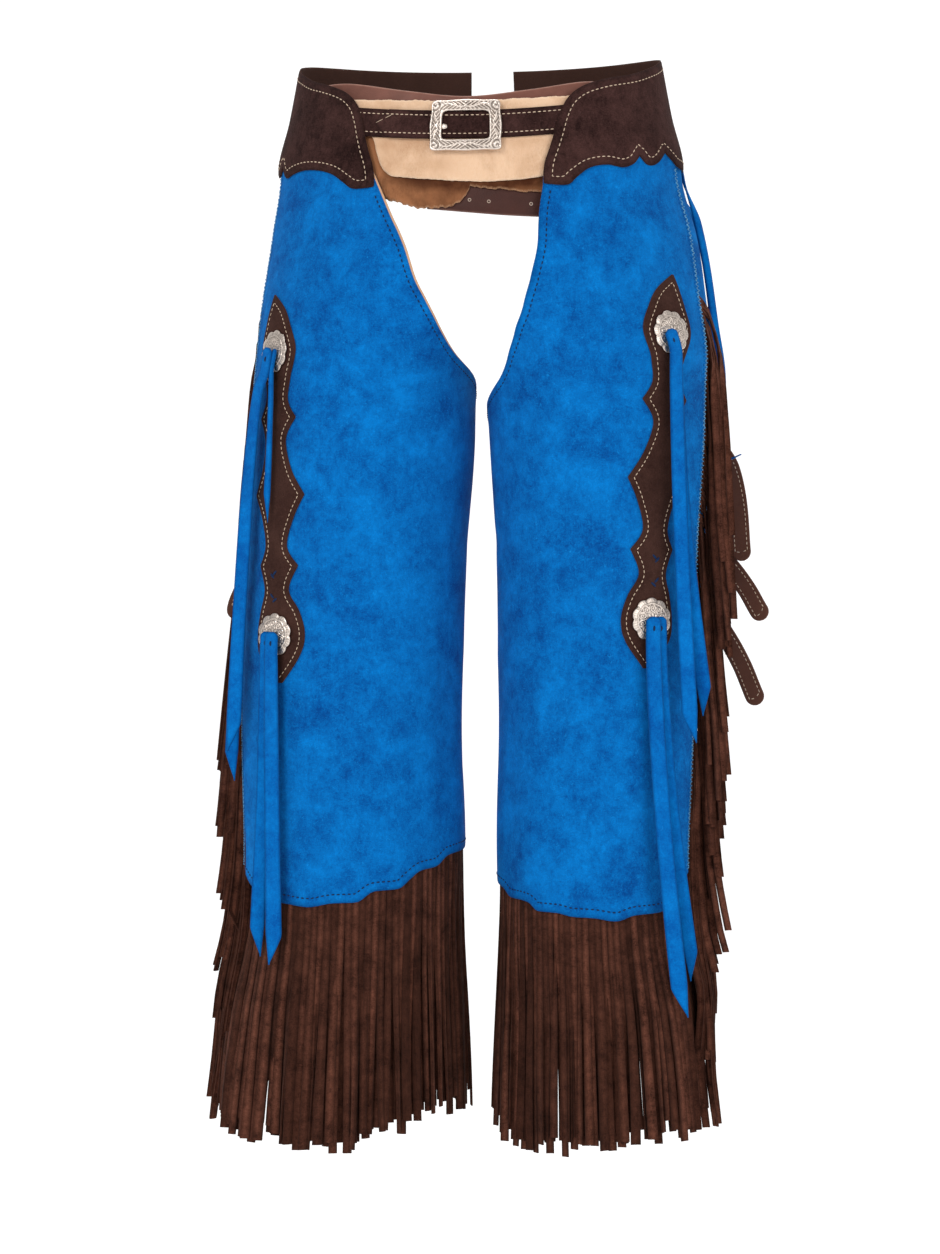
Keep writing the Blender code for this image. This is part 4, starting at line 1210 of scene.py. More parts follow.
class Finish(Enum):
    """The finishes of the chaps, each with the record's slot that it belongs to."""

    BLUE = ("blue_suede", Suede(
        "blue_suede_nap", (0.0004, 0.052, 0.230), (0.0010, 0.175, 0.540), (0.030, 0.150, 0.340),
        (0.560, 0.330, 0.190), (0.008, 0.270, 0.700)))
    # Its edges darken more: painted shadow along the ties' edges and between the strips.
    TIE = ("blue_suede", Suede(
        "blue_tie_suede", (0.0004, 0.070, 0.300), (0.0010, 0.170, 0.530), (0.006, 0.130, 0.380),
        (0.003, 0.070, 0.250), (0.009, 0.220, 0.600), cloud=34.0, edge_shade=0.45, edge_reach=2.4))
    BROWN = ("brown_suede", Suede(
        "brown_suede_nap", (0.013, 0.0052, 0.0046), (0.058, 0.0255, 0.0225), (0.055, 0.026, 0.019),
        (0.075, 0.032, 0.022), (0.080, 0.040, 0.036), cloud=17.0, contrast=0.75, edge_reach=4.0,
        sheen=0.02, sheen_tint=(1.0, 0.8, 0.75)))
    TAB = ("brown_suede", Suede(
        "brown_tab_suede", (0.026, 0.0105, 0.0080), (0.056, 0.025, 0.019), (0.105, 0.045, 0.032),
        (0.120, 0.045, 0.026), (0.080, 0.038, 0.030), edge_shade=1.5, edge_reach=1.6,
        sheen=0.02, sheen_tint=(1.0, 0.8, 0.75)))
    # Its low edge_shade darkens the strands' rims: painted shade between the strands.
    FRINGE = ("brown_fringe_suede", Suede(
        "brown_fringe_nap", (0.026, 0.0088, 0.0054), (0.158, 0.0560, 0.0345), (0.060, 0.024, 0.016),
        (0.036, 0.013, 0.009), (0.115, 0.044, 0.029), cloud=52.0, edge_shade=0.22, edge_reach=1.6,
        sheen=0.02, sheen_tint=(1.0, 0.8, 0.7)))
    TAN = ("tan_split_leather", RawSplit(
        "tan_split", (0.730, 0.480, 0.310), (0.500, 0.280, 0.155), (0.800, 0.600, 0.430),
        (0.780, 0.600, 0.440)))
    RUST = ("raw_flesh_leather", RawSplit(
        "rust_flesh", (0.345, 0.138, 0.058), (0.056, 0.015, 0.0048), (0.390, 0.180, 0.085),
        (0.520, 0.300, 0.170), 0.0008))
    SMOOTH = ("smooth_brown_leather", SmoothLeather(
        "smooth_brown", (0.056, 0.0180, 0.0130), (0.200, 0.105, 0.080), (0.050, 0.020, 0.013)))
    # A brighter copy of the smooth brown leather: painted light on the glossy waist band.
    BAND = ("smooth_brown_leather", SmoothLeather(
        "waist_band_face", (0.200, 0.078, 0.055), (0.330, 0.170, 0.125), (0.070, 0.028, 0.018)))
    SILVER = ("engraved_silver", EngravedMetal(
        "engraved_silver_face", (0.770, 0.675, 0.600), (0.110, 0.078, 0.060), 0.34))
    NICKEL = ("plain_nickel", EngravedMetal(
        "plain_nickel_face", (0.620, 0.610, 0.600), (0.200, 0.190, 0.180), 0.24))
    CREAM = ("brown_suede", Dyed("cream_thread", (0.620, 0.470, 0.340)))
    NAVY = ("blue_suede", Dyed("navy_thread", (0.002, 0.020, 0.075)))
    PALE_BLUE = ("blue_suede", Dyed("pale_blue_thread", (0.110, 0.330, 0.560)))
    HOLE = ("smooth_brown_leather", Dyed("punched_edge", (0.520, 0.400, 0.320)))

    @property
    def slot(self) -> str:
        """The record's material slot."""
        return self.value[0]

    def material(self) -> bpy.types.Material:
        """The finish's material, made the first time that it is asked for."""
        found = bpy.data.materials.get(self.value[1].name)
        return found or self.value[1].material()


def dress(piece: Object, finish: Finish, *nodes: str) -> None:
    """Gives a piece its finish and its body, and hides the solids that it stands for.

    Args:
        piece: the finished piece.
        finish: its finish.
        nodes: the solids that it replaces.
    """
    piece.data.materials.append(finish.material())
    finish.slot
    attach(piece, BODY)
    if nodes:
        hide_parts(*nodes)
    triangles = sum(len(polygon.vertices) - 2 for polygon in piece.data.polygons)
    LOG.info("%s: %d triangles, %s", piece.name, triangles, finish.name.lower())


def declare(made: Made, with_pieces: Sequence[Object] = ()) -> None:
    """Logs the flat size of a piece of leather.

    Args:
        made: the piece and its flat size.
        with_pieces: what is sewn to it; not used.
    """
    piece, cut = made
    list(with_pieces)
    width, length = cut.width / MM, cut.length / MM
    LOG.info("%s: cut from %.0f x %.0f mm, %.0f cm2", piece.name, width, length, cut.area * 1e4)


def lay(made: Made, finish: Finish, node: str, held: str, *rests_on: str) -> None:
    """Args:
        made: the piece and its flat size.
        finish: its finish.
        node: the solid that it replaces.
        held: how it is held; not used.
        rests_on: what it lies on or hangs from; not used.
    """
    dress(made[0], finish, node)
    declare(made)


# ---- The cut lines of the pieces

FRONT_DROPS = (60, 75, 100, 130, 160, 185, 208, 226, 246, 264, 290, 325, 365)
FRONT_EDGES = {
    Side.LEFT: (27, 23, 15, 4, -9, -24, -42, -60, -92, -115, -134, -147, -150),
    Side.RIGHT: (22, 20, 14.5, 8, -3, -15, -30, -42, -52, -72, -108, -138, -150),
}
BACK_DROPS = (20, 60, 110, 160, 210, 255, 300, 350, 400)
BACK_ANGLES = (152, 138, 122, 115, 114, 121, 135, 147, 150)
HEM_ANGLES = (-150, -110, -84, -66, -55, -44, -37, -31, -18, -9, 3, 16, 27, 44, 60, 74, 110, 150)
HEM_DROPS = {
    Side.LEFT: (684, 684, 685, 688, 698, 701, 709, 717, 719, 729, 730, 734, 732, 728, 717, 706, 700, 696),
    Side.RIGHT: (708, 710, 714, 718, 726, 727, 729, 736, 737, 740, 741, 744, 739, 737, 722, 704, 700, 698),
}
TIP_ANGLES = (-150, -84, -53, -31, -8, 13, 28, 50, 75, 150)
TIP_DROPS = {
    Side.LEFT: (925, 923, 926, 941, 955, 959, 950, 945, 925, 925),
    Side.RIGHT: (930, 931, 950, 955, 952, 947, 943, 938, 928, 925),
}
TOP_ANGLES = (27, 32, 41, 52, 80)
TOP_DROPS = (60, 48, 38, 30, 24)
SEAM_LOW = 74.0
SEAM_HIGH = 80.0
WING_FRONT = 66.0
WING_DEPTH = 4.3
# The rounds in which a grid settles between its slanting borders.
SETTLING = 40


def front_edge(side: Side, drop: Array) -> Array:
    """The angle of the leg panel's front edge at a drop."""
    return curve_through(drop, FRONT_DROPS, FRONT_EDGES[side])


def hem(side: Side, angle: Array) -> Array:
    """The drop of the scalloped hem at an angle."""
    return curve_through(angle, HEM_ANGLES, HEM_DROPS[side])


def seam(drop: Array) -> Array:
    """The angle of the side seam at a drop."""
    return SEAM_HIGH + (SEAM_LOW - SEAM_HIGH) * rise(drop, 24.0, 240.0)


def wing_base(angle: Array) -> Array:
    """How far out from the form the wing's inner face lies: deep under the seam, then level."""
    return -WING_DEPTH * (1 - np.clip((angle - 80.0) / 10.0, 0.0, 1.0))


# ---- Legs


@dataclass
class Leg:
    """One leg: the front panel, the back wing and the welt in the seam between them."""

    side: Side
    edge_row: float = 7.5
    hem_row: float = 8.0
    back_row: float = 7.0
    seam_row: float = 8.5
    whip_in: float = 0.4
    whip_out: float = 5.4

    def panel(self) -> Made:
        """The main piece: the front and inside of the leg, from the side seam to the back.

        Its grid runs from the top edge to the hem and from the front edge to the seam. The edges
        depend on each other, so each place is found by repeating: its drop is the top edge's plus a
        share of the way to the hem, and its angle the front edge's plus a share of the way to the seam.

        Returns:
            The panel and its flat size.
        """

        def place(u: Array, v: Array, lift: Array) -> Array:
            """Points of the panel at its shares across and down.

            Args:
                u: share across.
                v: share down.
                lift: millimetres over the inner face.

            Returns:
                The points, in millimetres.
            """
            angle = np.full_like(u, 20.0)
            drop = 60 + 600 * v
            for _ in range(SETTLING):
                top = curve_through(angle, TOP_ANGLES, TOP_DROPS)
                drop = 0.5 * drop + 0.5 * (top + v * (hem(self.side, angle) - top))
                first = front_edge(self.side, drop)
                angle = 0.5 * angle + 0.5 * (first + u * (seam(drop) - first))
            return FORM.place(self.side, angle, drop, lift)

        across = np.concatenate([[0.0, 0.0025, 0.006], np.linspace(0.0125, 0.99, 108), [0.9965, 1.0]])
        down = np.concatenate([[0.0, 0.002], np.linspace(0.008, 0.993, 166), [0.9975, 1.0]])
        made = leather_shell(f"{self.side.label}_leg_leather", place, across, down, SUEDE)
        # The upper front edge of one leg rolls out and shows a little of its flesh side.
        shown = (across < 0.0065)[:, None] * 0.42 * (1 - rise(down, 0.22, 0.34))[None]
        shown = shown * (self.side is Side.LEFT)
        under = np.concatenate([shown.ravel(), np.ones(shown.size)]).astype(np.float32)
        made[0].data.attributes["under"].data.foreach_set("value", under)
        dress(made[0], Finish.BLUE, f"{self.side.label}_leg")
        return made

    def wing(self) -> None:
        """The narrow back piece, from under the side seam to the open back of the leg."""

        def place(u: Array, v: Array, lift: Array) -> Array:
            """Points of the wing at its shares across and down, found as the panel's are.

            Args:
                u: share across.
                v: share down.
                lift: millimetres over the inner face.

            Returns:
                The points, in millimetres.
            """
            angle = np.full_like(u, 100.0)
            drop = 20 + 600 * v
            for _ in range(SETTLING):
                top = 24 - 4 * rise(angle, 70.0, 150.0)
                drop = 0.5 * drop + 0.5 * (top + v * (hem(self.side, angle) - 2 * (angle < 74) - top))
                last = curve_through(drop, BACK_DROPS, BACK_ANGLES)
                first = WING_FRONT + 4 * (1 - rise(drop, 24.0, 240.0))
                angle = 0.5 * angle + 0.5 * (first + u * (last - first))
            return FORM.place(self.side, angle, drop, wing_base(angle) + lift)

        across = np.concatenate([[0.0, 0.004], np.linspace(0.012, 0.985, 48), [0.994, 1.0]])
        down = np.concatenate([[0.0, 0.002], np.linspace(0.008, 0.993, 160), [0.9975, 1.0]])
        name = self.side.label
        lay(leather_shell(f"{name}_back_wing_leather", place, across, down, SUEDE), Finish.BLUE,
            f"{name}_back_wing", "hung", f"{name}_leg_leather", f"{name}_yoke_leather")

    def welt(self) -> None:
        """The narrow strip that fills the seam above the fringe."""

        def place(u: Array, v: Array, lift: Array) -> Array:
            """Points of the welt at its shares across and down.

            Args:
                u: share across.
                v: share down.
                lift: millimetres over the inner face.

            Returns:
                The points, in millimetres.
            """
            drop = 28 + (167.7 - 28) * v
            first = 74.3 - 4 * v
            last = 79.0 - 3 * v
            return FORM.place(self.side, first + u * (last - first), drop, lift - GAP - THIN)

        name = self.side.label
        made = leather_shell(f"{name}_welt_leather", place, np.linspace(0, 1, 8), np.linspace(0, 1, 60), THIN)
        lay(made, Finish.FRINGE, f"{name}_welt", "folded", f"{name}_leg_leather")

    def stitches(self) -> None:
        """Dark-blue rows along the front edge and the hems, and whipping on the side seam."""
        side = self.side
        flat = FlatMap(side, 400.0)
        sign = float(side.value)
        drops = np.linspace(80.0, 420.0, 600)
        rows = [flat.beside(np.stack([front_edge(side, drops), drops], 1), self.edge_row * sign, SUEDE)]
        for first, last in ((-147.0, 71.0), (77.5, 147.0)):
            angles = np.linspace(first, last, 700)
            out = SUEDE + wing_base(angles) * (first > 0)
            rows.append(flat.beside(np.stack([angles, hem(side, angles)], 1), self.hem_row * sign, out))
        drops = np.linspace(60.0, 390.0, 500)
        back = np.stack([curve_through(drops, BACK_DROPS, BACK_ANGLES), drops], 1)
        rows.append(flat.beside(back, -self.back_row * sign, SUEDE))
        dress(Thread(width=1.35).sew(f"{side.label}_leg_stitches", rows), Finish.NAVY)
        count = 330
        drops = np.linspace(52.0, 700.0, count)
        line = np.stack([seam(drops), drops], 1)
        over = np.where(np.arange(count) % 2 == 0, self.whip_in, self.whip_out)
        over = over + 0.7 * wander(drops, 2.0, 9.0)
        whip = np.stack([line[:, 0] - over / FORM.mm_per_degree, drops], 1)
        at = lengths_along(FORM.place(side, whip[:, 0], drops, 0.0))
        thread = Thread(float(at[-1] / (count - 1)), 5.2, 1.35)
        dress(thread.sew(f"{side.label}_seam_whip", [flat.row(whip, SUEDE + 0.25)]), Finish.PALE_BLUE)
        row = flat.beside(line, -self.seam_row * sign, SUEDE)
        dress(Thread(4.0, 3.0, 0.8).sew(f"{side.label}_seam_stitches", [row]), Finish.TIE)


# ---- Yokes

YOKE_TURN = {Side.LEFT: 4.5, Side.RIGHT: 0.0}
YOKE_TOP = cut_line(
    (173, -62, True), (120, -60), (92, -53), (73, -41), (59, -31), (46, -24),
    (37, -16), (31.5, -5), (28.2, 10), (26, 26), (23.5, 46), (20, 76, True),
)
YOKE_BOTTOM = {
    Side.LEFT: cut_line(
        (20, 76, True), (27, 76.5), (31.5, 70), (37, 61), (44, 56), (52, 54.5),
        (61, 56), (66.5, 58.5), (70, 55), (72.5, 47, True), (76, 54), (80, 54.5),
        (84, 50), (87.5, 42, True), (92, 48), (110, 50), (140, 45), (173, 40, True),
    ),
    Side.RIGHT: cut_line(
        (20, 76, True), (27, 76.5), (31, 69), (36, 60), (42, 56.5), (48, 58),
        (52.5, 53.5), (55, 46, True), (58, 53), (61.5, 53.5), (65, 49),
        (69, 40, True), (74, 46), (82, 51), (110, 50), (140, 45), (173, 40, True),
    ),
}


@dataclass
class Yoke:
    """The dark scalloped piece over one hip, sewn over the top of the leg."""

    side: Side
    measured_at: float = 30.0
    inset: float = 7.5

    def line(self, corners: Sequence[Corner]) -> Array:
        """A cut line of this side's yoke: its turn fades out toward the back.

        Args:
            corners: the corners of the line.

        Returns:
            The rounded line as angle and drop.
        """
        points = rounded_line(corners)
        points[:, 0] += YOKE_TURN[self.side] * (1 - rise(points[:, 0], 40.0, 70.0))
        return points

    def build(self) -> None:
        """The yoke, ruled between its two lines."""
        flat = FlatMap(self.side, self.measured_at)
        top, bottom = (resampled(line, 2000) for line in (
            flat.flatten(self.line(YOKE_TOP)), flat.flatten(self.line(YOKE_BOTTOM[self.side]))[::-1]))
        top, bottom = (flat.unflatten(line) for line in self.paired(top, bottom))

        def place(u: Array, v: Array, lift: Array) -> Array:
            """Points of the yoke at its shares along and across."""
            return FORM.place(self.side, *ruled(top, bottom, u, v), LAYER + lift)

        down = np.concatenate([[0.0, 0.02], np.linspace(0.05, 0.95, 30), [0.98, 1.0]])
        name = self.side.label
        made = leather_shell(f"{name}_yoke_leather", place, np.linspace(0, 1, 290), down, SUEDE)
        lay(made, Finish.BROWN, f"{name}_yoke", "hung", f"{name}_leg_leather", "back_strap_leather")

    @staticmethod
    def paired(top: Array, bottom: Array) -> tuple[Array, Array]:
        """Points of both lines that face each other.

        Behind, they face each other straight up and down. In front, where the top line turns down
        to the point, they do so at equal shares of what is left, with a short blunt end.

        Args:
            top: the top line from the back to the point, in flat millimetres.
            bottom: the lower line in the same order.

        Returns:
            Both lines with the same number of points.
        """
        paired = []
        for line, share in ((top, 0.62), (bottom, 0.50)):
            split = int(np.argmax(line[:, 0] < top[0, 0] - share * (top[0, 0] - line[-1, 0])))
            end = np.argmax(lengths_along(line) > lengths_along(line)[-1] - 1.0)
            parts = resampled(line[:split + 1], 700), resampled(line[split:end], 700)[1:]
            paired.append(np.concatenate(parts))
        return paired[0], paired[1]

    def stitches(self) -> None:
        """A cream row all round the yoke."""
        outline = np.concatenate([self.line(YOKE_TOP), self.line(YOKE_BOTTOM[self.side])[1:-1]])
        row = FlatMap(self.side, self.measured_at).inset_row(outline, self.inset, LAYER + SUEDE)
        dress(Thread().sew(f"{self.side.label}_yoke_stitches", [row]), Finish.CREAM)


# ---- Tabs

TAB_INNER = cut_line(
    (55, 155, True), (45.5, 168), (38.5, 184), (30.5, 208), (31.5, 234),
    (32, 254), (26.5, 270, True), (32.5, 290), (28, 316), (19, 341, True),
    (24.5, 362), (28, 388), (21, 406, True), (26, 428), (20, 448),
    (16.5, 470), (19, 490), (29, 514, True),
)
TAB_OUTER = cut_line(
    (56, 155, True), (57.5, 168), (58.5, 184), (58.5, 208), (51, 234),
    (49, 254), (53.5, 270, True), (48, 290), (49, 316), (55, 341, True),
    (47.5, 362), (43.5, 388), (47.5, 406, True), (43, 428), (46, 448),
    (48, 470), (46, 490), (33, 514, True),
)
TAB_LOWER = {Side.LEFT: 14.0, Side.RIGHT: 0.0}


@dataclass
class Tab:
    """The long scalloped piece that carries a leg's conchos."""

    side: Side
    measured_at: float = 330.0
    inset: float = 5.0

    def lines(self) -> tuple[Array, Array]:
        """Its inner and outer cut lines."""
        shift = np.array([0.0, TAB_LOWER[self.side]])
        return rounded_line(TAB_INNER) + shift, rounded_line(TAB_OUTER) + shift

    def build(self) -> None:
        """The tab, ruled between its two lines, which have the same corners."""
        inner, outer = self.lines()

        def place(u: Array, v: Array, lift: Array) -> Array:
            """Points of the tab at its shares across and down."""
            return FORM.place(self.side, *ruled(inner, outer, v, u), LAYER + lift)

        name = self.side.label
        down = np.linspace(0, 1, len(inner) // 2)
        made = leather_shell(f"{name}_tab_leather", place, close_at_ends(26, 0.6), down, THIN)
        lay(made, Finish.TAB, f"{name}_tab", "laid", f"{name}_leg_leather")

    def stitches(self) -> None:
        """A cream row all round the tab."""
        inner, outer = self.lines()
        outline = np.concatenate([inner, outer[::-1]])
        row = FlatMap(self.side, self.measured_at).inset_row(outline, self.inset, LAYER + THIN)
        dress(Thread(4.6, 3.4, 0.85).sew(f"{self.side.label}_tab_stitches", [row]), Finish.CREAM)


# ---- Pieces across the front and the back

BELT_TOP = 8.5
BELT_WIDTH = 26.0
BELT_ENDS = (-119.0, 112.0)
BILLET_TIP = -84.0
BUCKLE_MIDDLE = (1.0, 22.5)


def front_angle(x: Array) -> Array:
    """The angle on the waist's curve at a distance x from the middle, at the belt."""
    return np.degrees(np.arcsin(np.asarray(x, float) / float(FORM.measure("right_out", 20.0))))


def on_front(x: Array, drop: Array, out: Array) -> Array:
    """Points over the waist's curve at a distance x from the middle."""
    return FORM.place(Side.RIGHT, front_angle(x), drop, out, Section.WAIST)


def belt_edge(x: Array, below: float) -> Array:
    """Drop of a line along the belt, which dips toward the middle as a parabola."""
    return BELT_TOP + below - 8.0 * (np.asarray(x, float) / 105.0) ** 2


UPPER_EDGE = ((-112, 8), (-88, 28), (-81, 44), (-75, 58), (-66, 66), (-54, 68), (-26, 71), (12, 73.5),
              (44, 72), (74, 67), (100, 56))


@dataclass(frozen=True)
class FrontPiece:
    """A piece across the front, between its upper and its lower edge, seen from in front."""

    node: str
    finish: Finish
    layer: float
    rests_on: tuple[str, ...]
    top: tuple[tuple[float, float], ...]
    bottom: tuple[tuple[float, float], ...]
    ragged: tuple[float, float] = (0.0, 0.0)

    def edge(self, corners: Sequence[tuple[float, float]], ragged: float, seed: float) -> Array:
        """An edge through its corners, with an uneven tear added to its drop.

        Args:
            corners: places across and down.
            ragged: how far the tear wanders.
            seed: starts the tear's wave elsewhere.

        Returns:
            Points of the edge.
        """
        line = resampled(rounded_line(cut_line(*corners), 40), 260)
        fade = np.sin(np.linspace(0, math.pi, len(line))) ** 0.3
        torn = wander(line[:, 0], seed, 31.0) + 0.7 * wander(line[:, 0], seed + 2, 6.3)
        line[:, 1] += fade * ragged * torn
        return line

    def build(self) -> None:
        """The piece as a shell, with its stains and painted shade kept as a point value."""
        top = self.edge(self.top, self.ragged[0], 1.3)
        bottom = self.edge(self.bottom, self.ragged[1], 4.1)

        def place(u: Array, v: Array, lift: Array) -> Array:
            """Points of the piece at its shares along and across."""
            return on_front(*ruled(top, bottom, u, v), lift + self.layer)

        name = self.node + "_leather"
        made = leather_shell(name, place, np.linspace(0, 1, 210), close_at_ends(16, 0.6), SUEDE)
        flat = np.empty(3 * len(made[0].data.vertices), np.float32)
        made[0].data.vertices.foreach_get("co", flat)
        # The point value shade holds stains and painted shade and shadow.
        put_values(made[0], "shade", np.clip(self.soil(flat[0::3] / MM, -flat[2::3] / MM), 0.0, 1.0))
        lay(made, self.finish, self.node, "stretched", *self.rests_on)

    def soil(self, x: Array, drop: Array) -> Array:
        """How dark the leather is. On the upper flap: a stain in the middle, a darker spot at the right,
        painted shade at the left where the leg's edge lies over it, and painted shadow under the belt. On
        the rest: darker toward the right, and painted shadow below the upper flap's edge.

        Args:
            x: places across.
            drop: places down.

        Returns:
            Darkness, from 0 to about 1.
        """
        if self.finish is Finish.TAN:
            # A stain in the middle; painted shade at the left, where the leg's edge lies over the flap.
            shade = 0.50 * np.exp(-(((x + 22) / 17) ** 2) - ((drop - 58) / 8) ** 2) + 0.40 * bell(x, -74, 13)
            shade = shade + 0.30 * np.exp(-(((x - 52) / 9) ** 2) - ((drop - 50) / 14) ** 2)
            # A band of painted shadow just under the belt.
            return shade + 0.35 * bell(drop, 37, 4.5)
        # Darker toward the right, and painted shadow below the upper flap's lower edge.
        below = drop - curve_through(x, *zip(*UPPER_EDGE))
        near = np.clip(1 - below / 12.0, 0.0, 1.0) * (0.2 + 0.8 * rise(x, -84.0, -58.0))
        return 0.45 * rise(x, -76.0, -12.0) + near


FRONT_PIECES = (
    FrontPiece("upper_flap", Finish.TAN, -LAYER,
               ("left_leg_leather", "right_leg_leather", "belt_left_leather"),
               ((-112, -7.5), (-60, -3.5), (0, -1), (60, -3.5), (102, -7)), UPPER_EDGE, (0.65, 0.3)),
    FrontPiece("under_flap", Finish.RUST, -2 * LAYER, ("upper_flap_leather",),
               ((-118, 2), (-40, 2), (30, 2), (96, 2)),
               ((-110, 52), (-92, 70), (-76, 84), (-56, 92), (-32, 97), (-14, 95), (-3, 90), (3, 82), (8, 78),
                (36, 81), (74, 83), (94, 80)), (0.2, 1.3)),
    FrontPiece("waist_band", Finish.BAND, -3 * LAYER, ("under_flap_leather", "upper_flap_leather"),
               ((-152, -26), (-120, -24), (-60, -13), (0, -6), (60, -12), (112, -21), (140, -22)),
               ((-152, 4), (-120, 12), (-60, 17), (0, 22), (60, 17), (112, 12), (140, 6))),
)
STRAP_TOP = ((-34, 73), (8, 75.5), (40, 78), (96, 79))
STRAP_BOTTOM = ((-34, 97), (4, 101), (40, 104), (96, 106))
STRAP_HOLES = ((3.8, 89.6), (20.7, 91.2), (57.2, 93.4))


@dataclass
class Front:
    """Everything across the belly: belt, flaps, waist band and inner strap."""

    climb: tuple[float, float] = (-24.0, 34.0)
    row_inset: float = 4.5
    hole_radius: float = 1.25

    def belt_left(self) -> None:
        """The belt's short end at the left, that the long strap lies on."""

        def place(u: Array, v: Array, lift: Array) -> Array:
            """Points of the short end at its shares along and across."""
            x = BELT_ENDS[0] + u * (-27.0 - BELT_ENDS[0])
            return on_front(x, belt_edge(x, 0.0) + v * BELT_WIDTH, lift)

        made = leather_shell("belt_left_leather", place, np.linspace(0, 1, 60), close_at_ends(16, 0.6), SUEDE)
        lay(made, Finish.BROWN, "belt_left", "stretched", "left_leg_leather")

    def strap_lift(self, x: Array) -> Array:
        """How far the long strap has climbed on to the short end."""
        return LAYER * (1 - rise(front_angle(x), *(front_angle(end) for end in self.climb)))

    def belt_right(self) -> None:
        """The long strap with its pointed end, through the buckle."""

        def place(u: Array, v: Array, lift: Array) -> Array:
            """Points of the long strap at its shares along and across.

            Args:
                u: share along.
                v: share across.
                lift: millimetres over the inner face.

            Returns:
                The points, in millimetres.
            """
            middle = BELT_WIDTH / 2
            tip = BILLET_TIP + 13.0 * np.abs(2 * v - 1) ** 1.15
            x = tip + u * (BELT_ENDS[1] - tip)
            return on_front(x, belt_edge(x, middle) + (2 * v - 1) * middle, lift + self.strap_lift(x))

        across = np.concatenate([[0.0, 0.004], np.linspace(0.01, 1.0, 130)])
        made = leather_shell("belt_right_leather", place, across, close_at_ends(20, 0.4), SUEDE)
        lay(made, Finish.BROWN, "belt_right", "stretched", "right_leg_leather", "belt_left_leather")

    def belt_stitches(self) -> None:
        """Two cream rows along the belt, and a thin thread across the long strap's pointed end."""

        def row(x: Array, below: Array | float, out: Array | float) -> Row:
            """A sewing row along the belt, a distance below its top."""
            return FORM.row(Side.RIGHT, front_angle(x), belt_edge(x, below), out, Section.WAIST)

        short = np.linspace(-117.0, BILLET_TIP + 9.0, 90)
        long = np.linspace(BILLET_TIP + 9.5, 110.0, 400)
        rows = []
        for below in (self.row_inset, BELT_WIDTH - self.row_inset):
            rows += [row(short, below, SUEDE), row(long, below, SUEDE + self.strap_lift(long))]
        dress(Thread(4.6, 3.5).sew("belt_stitches", rows), Finish.CREAM)
        x = np.linspace(BILLET_TIP + 1.0, BILLET_TIP + 17.0, 40)
        share = (x - x[0]) / (x[-1] - x[0])
        across = row(x, 13.5 - 9.0 * share, SUEDE + self.strap_lift(x))
        dress(Thread(8.2, 8.0, 0.55).sew("belt_point_stitches", [across]), Finish.CREAM)

    def inner_strap(self) -> None:
        """The smooth strap under the flap, with a row of rimmed holes that show its dark core."""

        def place(u: Array, v: Array, lift: Array) -> Array:
            """Points of the strap at its shares along and across, a little proud in its middle.

            Args:
                u: share along.
                v: share across.
                lift: millimetres over the inner face.

            Returns:
                The points, in millimetres.
            """
            x = -34.0 + 130.0 * u
            top, low = (curve_through(x, *zip(*line)) for line in (STRAP_TOP, STRAP_BOTTOM))
            bow = 0.5 * (1 - (2 * v - 1) ** 4)
            return on_front(x, top + v * (low - top), lift - 3 * LAYER + bow - 0.5)

        u, v = np.linspace(0, 1, 110), close_at_ends(20, 0.6)
        made = leather_shell("inner_strap_leather", place, u, v, SUEDE)
        lay(made, Finish.SMOOTH, "inner_strap", "stretched", "under_flap_leather")
        turn = full_turn(24)
        for number, (x, drop) in enumerate(STRAP_HOLES, 1):
            loop = on_front(x + self.hole_radius * np.cos(turn), drop + self.hole_radius * np.sin(turn),
                            np.full(24, -3 * LAYER + SUEDE + 0.1))
            dress(closed_tube(f"inner_strap_hole_{number}", loop, 0.36, 8), Finish.HOLE)

    def build(self) -> None:
        """All of them, in order."""
        self.belt_left()
        self.belt_right()
        self.belt_stitches()
        for piece in FRONT_PIECES:
            piece.build()
        self.inner_strap()


